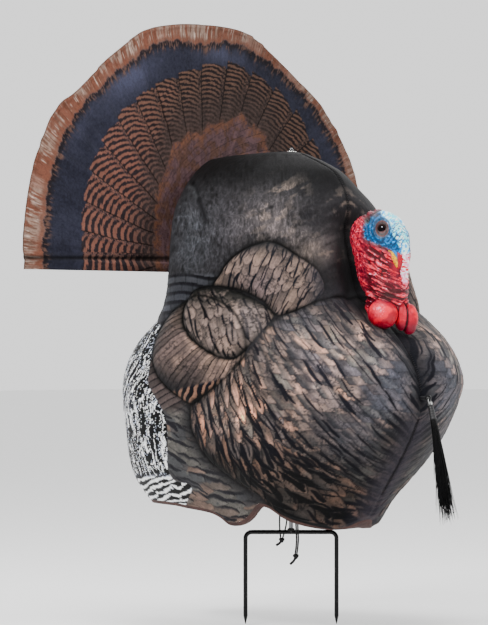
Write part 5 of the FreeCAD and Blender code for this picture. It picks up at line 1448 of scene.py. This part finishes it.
head_ob = make_mesh("turkey_head", HV2, HF, cc, mat=vinyl, body="head", rep=("head",))

# beak: a curved horn wedge with a mouth line, part of the moulding but painted yellow
bk_path = smooth_poly([(0, -203, 411), (-0.5, -213.5, 402), (-2.5, -219.5, 391), (-4.5, -220.5, 383), (-6, -219.5, 378)], closed=False, n=5)
tb = np.linspace(0, 1, len(bk_path))
wx = pchip([0, 0.25, 0.6, 0.85, 1], [25, 21.0, 13.0, 6.5, 1.8], tb)
wy = pchip([0, 0.25, 0.6, 0.85, 1], [12, 10.5, 7.0, 4.2, 1.6], tb)
n = 36
Tb = np.gradient(bk_path, axis=0)
Tb /= np.linalg.norm(Tb, axis=1)[:, None]
Yb = np.cross(Tb, np.array([1.0, 0, 0]))
a = np.arange(n) / n * 2 * np.pi
ca_, sa_ = np.cos(a), np.sin(a)
Vb = bk_path[:, None] + np.array([1.0, 0, 0])[None, None] * (wx[:, None] * ca_[None])[..., None] + Yb[:, None] * (wy[:, None] * sa_[None] * np.where(sa_ > 0, 1.0, 0.8)[None])[..., None]
Fb = [tuple(f) for f in grid_faces(len(bk_path), n, wrap=True)] + [tuple(range(n))[::-1], tuple((len(bk_path) - 1) * n + k for k in range(n))]
BV, BF = remeshed([(Vb.reshape(-1, 3), Fb)], 0.8)
BV = relax(BV, BF, 3, 0.5)
BN = vnormals(BV, BF)
if np.mean(((BV - BV.mean(0)) * BN).sum(1)) < 0:
    BF, BN = BF[:, ::-1], -BN
bu, bv = hpx(BV)
# mouth line at the rear lower side of the beak
ml = line_dist([(380, 254.0), (385.5, 257.0), (390, 261.0), (394.8, 266.3), (396.5, 270)], bu, bv)
bn = fbm2(bu / 1.2, bv / 1.2, 241.0, 3)
bcol = mixc(tone(196, 146, 40) + 0 * bu[:, None], tone(236, 196, 92), sstep(bn, 0.35, 0.65))
bcol = mixc(bcol, tone(150, 92, 36), sstep(bn, 0.6, 0.75) * 0.5)
YB = smooth_poly([(383, 249.2), (388, 249.2), (393, 252.2), (396.6, 257.5), (398.0, 263.5), (396.6, 268.8), (392.5, 265), (388, 259.5), (384, 254.5)])
yb = sstep(sdf(YB, bu, bv) + 0.8 * (bn - 0.5), -0.5, 0.7)
skin = mixc(tone(30, 122, 172) + 0 * bu[:, None], tone(176, 34, 40), np.clip(sstep(bv - (bu - 380) * 0.9, 252, 256) + sstep(bu, 396, 398.5) + sstep(bv, 262, 265), 0, 1))
skin = skin * (0.75 + 0.5 * bn)[:, None]
bcol = mixc(skin, bcol, yb)
bcol = mixc(bcol, tone(40, 20, 12), np.exp(-(ml / 0.55) ** 2) * 0.9)
bcol = to_paint(np.clip(crimson(bcol), 0, 1), 1.0)
BV2 = BV + BN * (-0.9 * np.exp(-(ml / 0.6) ** 2))[:, None]
beak = make_mesh("beak", BV2, BF, bcol, mat=vinyl, body="head", rep=("head",))

# snood: a soft finger that hangs from the forehead over the beak, in wrinkled rings
sn = smooth_poly([(0.5, -216.0, 416), (0.5, -222.0, 410), (0.8, -225.0, 399), (1.0, -224.5, 385), (1.4, -223.0, 371), (1.8, -222.5, 360), (2.0, -222.0, 355)], closed=False, n=10)
ts = np.linspace(0, 1, len(sn))
rs = pchip([0, 0.12, 0.4, 0.7, 0.93, 1], [6.0, 6.8, 6.6, 5.8, 4.8, 2.4], ts)
Vs, Fs = tube_mesh(sn, rs, 24)
SV, SF = remeshed([(Vs, Fs)], 0.8)
SV = relax(SV, SF, 2, 0.5)
SN = vnormals(SV, SF)
if np.mean(((SV - SV.mean(0)) * SN).sum(1)) < 0:
    SF, SN = SF[:, ::-1], -SN
x, y, z = SV.T
su, sv = project(SV)
nz = noise3(x / 2.0, y / 2.0, z / 2.4, 251.0)
wr = 1 - np.abs(2 * noise3(x / 4.5, y / 4.5, z / 1.8, 253.0) - 1)
SV2 = SV + SN * (0.9 * wr - 0.3)[:, None]
left_e = sstep(su, 399.0, 396.4) * sstep(sv, 252, 262)
scol = mixc(tone(206, 44, 52) + 0 * x[:, None], tone(238, 222, 226), sstep(wr + 0.5 * (nz - 0.5), 0.34, 0.66))
scol = mixc(scol, tone(224, 120, 124), sstep(nz, 0.56, 0.68) * 0.6)
scol = mixc(scol, tone(200, 40, 48), left_e * 0.85)
scol = mixc(scol, tone(206, 48, 54), sstep(z, 366, 356) * 0.45)
scol = mixc(scol, tone(196, 224, 240), sstep(z, 394, 404) * 0.9)
scol = mixc(scol, tone(70, 150, 198), sstep(z, 394, 404) * sstep(nz, 0.55, 0.68) * 0.8)
scol = to_paint(np.clip(crimson(scol), 0, 1), 1.0)
snood = make_mesh("snood", SV2, SF, scol, mat=vinyl, body="head", rep=("head",))

# eyes: a dark glossy ball with a brown iris and a painted glint
em, nt, bs = new_mat("eye_glass")
at = nt.nodes.new("ShaderNodeAttribute")
at.attribute_name = "Col"
nz_ = tex_noise(nt, 1500.0, 3.0, 0.6)
nt.links.new(mixrgb(nt, "MULTIPLY", 1.0, at.outputs["Color"], ramp(nt, nz_, [(0.3, (0.85,) * 3), (0.7, (1.15,) * 3)])), bs.inputs["Base Color"])
bs.inputs["Roughness"].default_value = 0.30
bs.inputs["Specular IOR Level"].default_value = 0.01
bs.inputs["Coat Weight"].default_value = 0.0
for sx, nm in ((-1, "right"), (1, "left")):
    c = EYEC * np.array([-sx, 1, 1])
    Ve, Fe = ball((0, 0, 0), 7.5, 40)
    d = np.array([sx * 0.80, -0.60, 0.05])
    d /= np.linalg.norm(d)
    cosd = (Ve @ d) / 7.5
    angd = np.degrees(np.arccos(np.clip(cosd, -1, 1)))
    nse = noise3(Ve[:, 0] * 2, Ve[:, 1] * 2, Ve[:, 2] * 2, 3.0)
    ec = mixc(tone(32, 18, 17) + 0 * cosd[:, None], tone(56, 34, 28), sstep(nse, 0.35, 0.7) * sstep(angd, 60, 40))
    ec = mixc(ec, tone(14, 11, 14), sstep(angd, 42, 36))
    ec = mixc(ec, tone(30, 18, 20), sstep(angd, 50, 56))
    ec = mixc(ec, tone(84, 42, 42), sstep(angd, 62, 70))
    gl = np.array([sx * 0.72, -0.62, 0.32])
    gl /= np.linalg.norm(gl)
    ga = np.degrees(np.arccos(np.clip((Ve @ gl) / 7.5, -1, 1)))
    ec = mixc(ec, tone(214, 214, 222), sstep(ga, 6.5, 4.0))
    ec = to_paint(np.clip(ec, 0, 1), 1.0)
    eo = make_mesh("eyeball_" + nm, Ve + c, Fe, ec, mat=em, body="head", rep=("eye_" + nm,))

# =====================================================================================
# seam stitches: whip stitches of dark thread over the centre seam
# =====================================================================================
def stitches(path, nrm, pitch=3.2, half=2.3, r=0.48, rng_s=3):
    seg = np.linalg.norm(np.diff(path, axis=0), axis=1)
    L = np.concatenate([[0], np.cumsum(seg)])
    n = int(L[-1] / pitch)
    parts = []
    T = np.gradient(path, axis=0)
    T /= np.linalg.norm(T, axis=1)[:, None] + 1e-12
    for k in range(n):
        s = (k + 0.5) * pitch
        c = np.array([np.interp(s, L, path[:, i]) for i in range(3)])
        t = np.array([np.interp(s, L, T[:, i]) for i in range(3)])
        m = np.array([np.interp(s, L, nrm[:, i]) for i in range(3)])
        m /= np.linalg.norm(m)
        h = half * (0.9 + 0.2 * float(hsh(k, 1, rng_s)))
        sl = 0.8 + 0.3 * float(hsh(k, 2, rng_s))
        p = []
        for q in np.linspace(-1, 1, 7):
            p.append(c + np.array([q * h, 0, 0]) + t * (q * sl) + m * (0.75 * (1 - q * q) - 0.25))
        p = [np.array([np.clip(a[0], -half * 1.2, half * 1.2), a[1], a[2]]) for a in p]
        parts.append(tube_mesh(p, r, 6))
    return parts


seam_parts = []
row_ok = P0[:, 0, 2]
N_front = N0[:, 0].copy()
N_front[:, 0] = 0
N_front /= np.linalg.norm(N_front, axis=1)[:, None] + 1e-12
zc0 = P0[:, 0, 2]
Hs = H[:, 0] + 0.42
line = P0[:, 0] + N_front * (Hs + 0.55)[:, None]
line[:, 0] = 0
for lo_z, hi_z in ((60, 170), (205, 262), (382, 549.0)):
    m = (zc0 > lo_z) & (zc0 < hi_z) & (np.hypot(P0[:, 0, 0], P0[:, 0, 1]) > 14)
    if m.sum() > 8:
        seam_parts += stitches(line[m], N_front[m])
rows = (TH_END == np.pi) & (np.hypot(P0[:, -1, 0], P0[:, -1, 1]) > 14)
Nr = N0[:, -1].copy()
Nr[:, 0] = 0
Nr /= np.linalg.norm(Nr, axis=1)[:, None] + 1e-12
rl = P0[:, -1] + Nr * (H[:, -1] + 0.9)[:, None]
rl[:, 0] = 0
if rows.sum() > 8:
    seam_parts += stitches(rl[rows], Nr[rows])
Vq, Fq, _ = join_parts(seam_parts)
thread = plain_mat("thread_black", srgb(20, 19, 21), 0.75, spec=0.2, noise_scale=900, vary=0.35, bump_s=0.4, bump_d=0.0002)
st_ob = make_mesh("seam_thread", Vq, Fq, mat=thread, body="decoy", rep=("seam_stitching",))

# =====================================================================================
# beard: a brush of fine bristles from a taped root
# =====================================================================================
BPV = np.array([0, -272.0, 197.0])
bl_ = math.radians(15.6)
BD = np.array([0, -math.sin(bl_), -math.cos(bl_)])
B1 = np.array([1.0, 0, 0])
B2 = np.cross(BD, B1)
rb = np.random.default_rng(11)
parts, cols = [], []
TA = ([31, 60, 100, 140, 172, 182], [4.0, 6.0, 10.5, 18.0, 27.0, 31.0], [4.0, 4.8, 6.0, 7.4, 8.6, 9.0])
for k in range(560):
    a = rb.uniform(0, 2 * np.pi)
    rr_ = math.sqrt(rb.uniform(0, 1))
    clump = int(rb.integers(0, 16))
    ca0 = clump / 16 * 2 * np.pi
    cr0 = 0.35 + 0.6 * float(hsh(clump, 1, 1))
    L = rb.uniform(110, 146) if rb.uniform() < 0.5 else rb.uniform(72, 138)
    if rb.uniform() < 0.06:
        L = rb.uniform(144, 152)
    ts_ = np.linspace(0, 1, 9)
    t = 29 + L * ts_
    A = np.interp(t, TA[0], TA[1])
    Bq = np.interp(t, TA[0], TA[2])
    ux, uy = rr_ * math.cos(a), rr_ * math.sin(a)
    cxm, cym = cr0 * math.cos(ca0), cr0 * math.sin(ca0)
    g = 0.55 * sstep(ts_, 0.40, 1.0)
    fx = ux * (1 - g) + cxm * g
    fy = uy * (1 - g) + cym * g
    wob = 0.35 * np.sin(ts_ * rb.uniform(3, 7) + rb.uniform(0, 6)) * ts_
    flare = rb.normal(0, 1.0) * 2.0 * np.clip(ts_ - 0.7, 0, 1) ** 1.2 * 3
    P = BPV + BD * t[:, None] + B1 * (A * fx + wob + flare - 11.0 * ts_ ** 1.5)[:, None] + B2 * (Bq * fy + wob * 0.6)[:, None]
    r = np.interp(ts_, [0, 0.3, 0.85, 1], [0.42, 0.38, 0.26, 0.10])
    V_, F_ = tube_mesh(P, r, 4)
    sh = 0.5 + 1.0 * rb.uniform()
    parts.append((V_, F_, np.broadcast_to(srgb(6, 6, 7) * sh, (len(V_), 3))))
Vq, Fq, Cq = join_parts(parts)
bm, nt, bs = new_mat("bristle_black")
at = nt.nodes.new("ShaderNodeAttribute")
at.attribute_name = "Col"
nz_ = tex_noise(nt, 400.0, 3.0, 0.6)
nt.links.new(mixrgb(nt, "MULTIPLY", 1.0, at.outputs["Color"], ramp(nt, nz_, [(0.3, (0.7,) * 3), (0.7, (1.3,) * 3)])), bs.inputs["Base Color"])
bs.inputs["Roughness"].default_value = 0.42
bs.inputs["Specular IOR Level"].default_value = 0.10
br = make_mesh("beard_brush", Vq, Fq, Cq, mat=bm, body="beard", rep=("beard_bristles",))
# taped root: turns of tape, each a little proud
pt = [BPV + BD * t for t in np.linspace(10.2, 32.0, 60)]
tw = np.linspace(0, 1, 60)
rw = 3.5 + 1.1 * tw + 0.22 * np.sin(tw * 2 * np.pi * 6.0) - 0.8 * (np.exp(-(tw / 0.03) ** 2) + np.exp(-((1 - tw) / 0.03) ** 2))
Vq, Fq = tube_mesh(pt, rw, 32)
tape_b = plain_mat("black_tape", srgb(22, 21, 23), 0.42, spec=0.45, noise_scale=350, vary=0.3, bump_s=0.25, bump_d=0.0003)
wr_ob = make_mesh("beard_root_tape", Vq, Fq, mat=tape_b, body="beard", rep=("beard_wrap",))

# =====================================================================================
# elastic tethers, their knots and tails
# =====================================================================================
E_ = np.array([R2, -R2, 0])
F_ = np.array([R2, R2, 0])


def Wp(s, p, z):
    return E_ * s + F_ * p + np.array([0, 0, z])


CORDS = {
    "tether_rear_a": ([(-14.2, 20.0, 79.85), (-15.9, 20.3, 44), (-16.6, 20.0, 8), (-14.9, 20.0, -10.4)], 0.0904),
    "tether_rear_b": ([(-4.6, 20.0, 79.85), (-5.2, 20.4, 47), (-6.4, 20.0, 13), (-12.3, 20.0, -10.4)], 0.0909),
    "tether_front_a": ([(6.9, -20.0, 79.85), (6.6, -20.4, 45), (7.2, -20.0, 10), (8.0, -20.0, -12), (5.9, -20.0, -31.6)], 0.1116),
    "tether_front_b": ([(9.9, -20.0, 79.85), (9.5, -20.4, 45), (9.9, -20.0, 10), (10.6, -20.0, -12), (8.4, -20.0, -31.6)], 0.1116),
}
TAILS = {"tether_rear_tail": [(-14.2, 20.0, -14.6), (-17.6, 20.5, -18.0), (-21.6, 20.8, -20.6)],
         "tether_front_tail": [(6.4, -20.0, -36.4), (3.0, -20.4, -41.6), (-1.4, -20.6, -45.6)]}
KN = {"rear": ((-13.5, 20.0, -12.6), 4.3), "front": ((7.0, -20.0, -34.0), 4.5)}
el, nt, bs = new_mat("braided_elastic")
nn = tex_noise(nt, 2600.0, 2.0, 0.5)
tcn = nt.nodes.new("ShaderNodeTexCoord")
wv_ = nt.nodes.new("ShaderNodeTexWave")
wv_.wave_type = "BANDS"
wv_.bands_direction = "DIAGONAL"
wv_.inputs["Scale"].default_value = 900.0
wv_.inputs["Distortion"].default_value = 3.0
nt.links.new(tcn.outputs["Object"], wv_.inputs["Vector"])
nt.links.new(ramp(nt, wv_.outputs["Fac"], [(0.2, tuple(srgb(12, 12, 13))), (0.8, tuple(srgb(42, 41, 43)))]), bs.inputs["Base Color"])
bs.inputs["Roughness"].default_value = 0.8
bs.inputs["Specular IOR Level"].default_value = 0.25
bump(nt, bs, wv_.outputs["Fac"], 0.35, 0.0003)
for key, (c, r) in KN.items():
    parts = []
    tt_ = np.linspace(0, 2 * np.pi, 120, endpoint=False)
    C0 = Wp(*c)
    k_ = r / 4.4
    tx = (np.sin(tt_) + 2 * np.sin(2 * tt_)) * 1.02 * k_
    ty = (np.cos(tt_) - 2 * np.cos(2 * tt_)) * 0.92 * k_
    tz = -np.sin(3 * tt_) * 1.15 * k_
    P = C0 + E_ * tx[:, None] + np.array([0, 0, 1.0]) * ty[:, None] + F_ * tz[:, None]
    parts.append(tube_mesh(P, 1.55 * k_, 12, close=True))
    tt_ = tt_ + 0.5
    tx, ty, tz = (np.sin(tt_) + 2 * np.sin(2 * tt_)) * 0.6 * k_, (np.cos(tt_) - 2 * np.cos(2 * tt_)) * 0.6 * k_, -np.sin(3 * tt_) * 1.6 * k_
    P = C0 + E_ * tz[:, None] + np.array([0, 0, 1.0]) * tx[:, None] + F_ * ty[:, None]
    parts.append(tube_mesh(P, 1.55 * k_, 12, close=True))
    V_, F4, _ = join_parts(parts)
    make_mesh("knot_" + key, V_, F4, mat=el, body="decoy", rep=("tether_knots",))
for nm, pts in TAILS.items():
    key = "rear" if "rear" in nm else "front"
    P = np.array([Wp(*p) for p in pts])
    P = smooth_poly(P, closed=False, n=6)
    back_ = Wp(*KN[key][0])
    P = np.concatenate([[back_ * 0.35 + P[0] * 0.65], P])
    tq = np.linspace(0, 1, len(P))
    V_, F4 = tube_mesh(P, np.interp(tq, [0, 0.15, 0.9, 0.97, 1], [1.2, 1.8, 1.8, 2.0, 1.7]), 14)
    make_mesh(nm + "_end", V_, F4, mat=el, body="decoy", rep=(nm,))
for nm, (pts, L) in CORDS.items():
    key = "rear" if "rear" in nm else "front"
    cu = bpy.data.curves.new(nm + "_cord", "CURVE")
    cu.dimensions = "3D"
    cu.bevel_depth = 0.0012
    cu.bevel_resolution = 4
    cu.resolution_u = 16
    sp = cu.splines.new("NURBS")
    ctrl = np.array([Wp(*p) for p in pts])
    ctrl = smooth_poly(ctrl, closed=False, n=4)
    sp.points.add(len(ctrl) - 1)
    for p_, q in zip(sp.points, ctrl):
        p_.co = (*(q * MM), 1)
    sp.order_u = 3
    sp.use_endpoint_u = True
    ob = bpy.data.objects.new(nm + "_cord", cu)
    sc.collection.objects.link(ob)
    cu.materials.append(el)
    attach(ob, "decoy")
    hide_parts(nm)

# =====================================================================================
# materials of the CAD parts that show as they are
# =====================================================================================
enamel = plain_mat("black_enamel", srgb(4, 4, 5), 0.26, spec=0.14, noise_scale=160, vary=0.3, bump_s=0.12, bump_d=0.0003, coat=0.05)
steel = plain_mat("drawn_steel", srgb(128, 128, 130), 0.42, metal=1.0, noise_scale=90, vary=0.2, bump_s=0.1)
weldm = plain_mat("weld_bead", srgb(30, 29, 30), 0.55, metal=0.6, noise_scale=500, vary=0.4, bump_s=0.7, bump_d=0.0008)
zinc = plain_mat("zinc_plate", srgb(170, 170, 168), 0.35, metal=1.0, noise_scale=200, vary=0.15)
nick = plain_mat("nickel_plate", srgb(214, 212, 208), 0.16, metal=1.0, noise_scale=200, vary=0.08)
plastic = plain_mat("black_nylon", srgb(24, 24, 26), 0.48, spec=0.4, noise_scale=420, vary=0.25, bump_s=0.25, bump_d=0.0003)
gloss_b = plain_mat("cap_gloss", srgb(12, 12, 14), 0.16, spec=0.6, noise_scale=300, vary=0.2, coat=0.5)
ribm = plain_mat("rib_fibre", srgb(34, 33, 34), 0.5, spec=0.4, noise_scale=300, vary=0.25)
tape, nt, bs = new_mat("binding_tape")
n1_ = tex_noise(nt, 1400.0, 3.0, 0.6)
n2_ = tex_noise(nt, 60.0, 4.0, 0.6)
c_ = ramp(nt, n2_, [(0.3, tuple(to_paint(tone(62, 42, 40), 1.0))), (0.7, tuple(to_paint(tone(88, 60, 54), 1.0)))])
nt.links.new(mixrgb(nt, "MULTIPLY", 1.0, c_, ramp(nt, n1_, [(0.3, (0.7,) * 3), (0.7, (1.25,) * 3)])), bs.inputs["Base Color"])
bs.inputs["Roughness"].default_value = 0.8
bs.inputs["Specular IOR Level"].default_value = 0.2
bump(nt, bs, n1_, 0.5, 0.0004)
for nodes, m in ((("stake_fork",), enamel), (("stake_post",), steel), (("stake_weld",), weldm), (("post_cap",), gloss_b), (("stop_collar", "collar_screw", "fan_bolt", "fan_wing_nut"), zinc),
                 (("top_eyelet", "eyelet_washer"), nick), (("mast_tube", "tether_plate", "fan_arm", "fan_washers", "neck_arm", "neck_peg", "beard_stud"), plastic),
                 (tuple("fan_rib_%d" % i for i in range(1, 7)), ribm), (("beard_clip",), zinc),
                 (("rim_binding_right", "rim_binding_left", "arch_binding_right", "arch_binding_left"), tape)):
    for nd in nodes:
        assign(nd, m)

# =====================================================================================
# floor, light
# =====================================================================================
fm, nt, bs = new_mat("floor")
bs.inputs["Base Color"].default_value = (0.93, 0.93, 0.93, 1)
bs.inputs["Roughness"].default_value = 0.9
bpy.ops.mesh.primitive_plane_add(size=40, location=(0, 0, -0.1345))
floor = bpy.context.object
floor.name = "floor"
floor.data.materials.append(fm)
w = bpy.data.worlds.new("studio")
sc.world = w
w.use_nodes = True
wn = w.node_tree
tcw = wn.nodes.new("ShaderNodeTexCoord")
dot = wn.nodes.new("ShaderNodeVectorMath")
dot.operation = "DOT_PRODUCT"
dot.inputs[1].default_value = (R2, R2, 0)
wn.links.new(tcw.outputs["Generated"], dot.inputs[0])
mr = wn.nodes.new("ShaderNodeMapRange")
mr.inputs["From Min"].default_value = -0.2
mr.inputs["From Max"].default_value = 0.8
mr.inputs["To Min"].default_value = 0.30
mr.inputs["To Max"].default_value = 1.42
mr.interpolation_type = "SMOOTHSTEP"
wn.links.new(dot.outputs["Value"], mr.inputs["Value"])
# brighter above 12 degrees, so that the floor meets the far wall without a line
sepw = wn.nodes.new("ShaderNodeSeparateXYZ")
wn.links.new(tcw.outputs["Generated"], sepw.inputs[0])
ml_ = wn.nodes.new("ShaderNodeMapRange")
ml_.inputs["From Min"].default_value = 0.20
ml_.inputs["From Max"].default_value = 0.45
ml_.inputs["To Min"].default_value = 1.0
ml_.inputs["To Max"].default_value = 2.05
ml_.interpolation_type = "SMOOTHSTEP"
wn.links.new(sepw.outputs["Z"], ml_.inputs["Value"])
mu = wn.nodes.new("ShaderNodeMath")
mu.operation = "MULTIPLY"
wn.links.new(mr.outputs["Result"], mu.inputs[0])
wn.links.new(ml_.outputs["Result"], mu.inputs[1])
wn.nodes["Background"].inputs[0].default_value = (1.0, 1.0, 1.0, 1)
wn.links.new(mu.outputs[0], wn.nodes["Background"].inputs[1])


def area(name, loc, target, size, power, col=(1, 1, 1)):
    d = bpy.data.lights.new(name, "AREA")
    d.shape = "RECTANGLE"
    d.size, d.size_y = size
    d.energy = power
    d.color = col
    o = bpy.data.objects.new(name, d)
    sc.collection.objects.link(o)
    o.location = loc
    o.rotation_euler = (Vector(target) - Vector(loc)).to_track_quat("-Z", "Y").to_euler()
    return o


area("key", (-2.7, -0.5, 2.9), (0, 0, 0.3), (0.9, 0.9), 120)
area("fill", (0.4, -2.8, 1.9), (0, 0, 0.3), (1.0, 1.0), 38)
area("top", (-0.3, -0.3, 3.0), (0, 0, 0.3), (1.2, 1.2), 60)
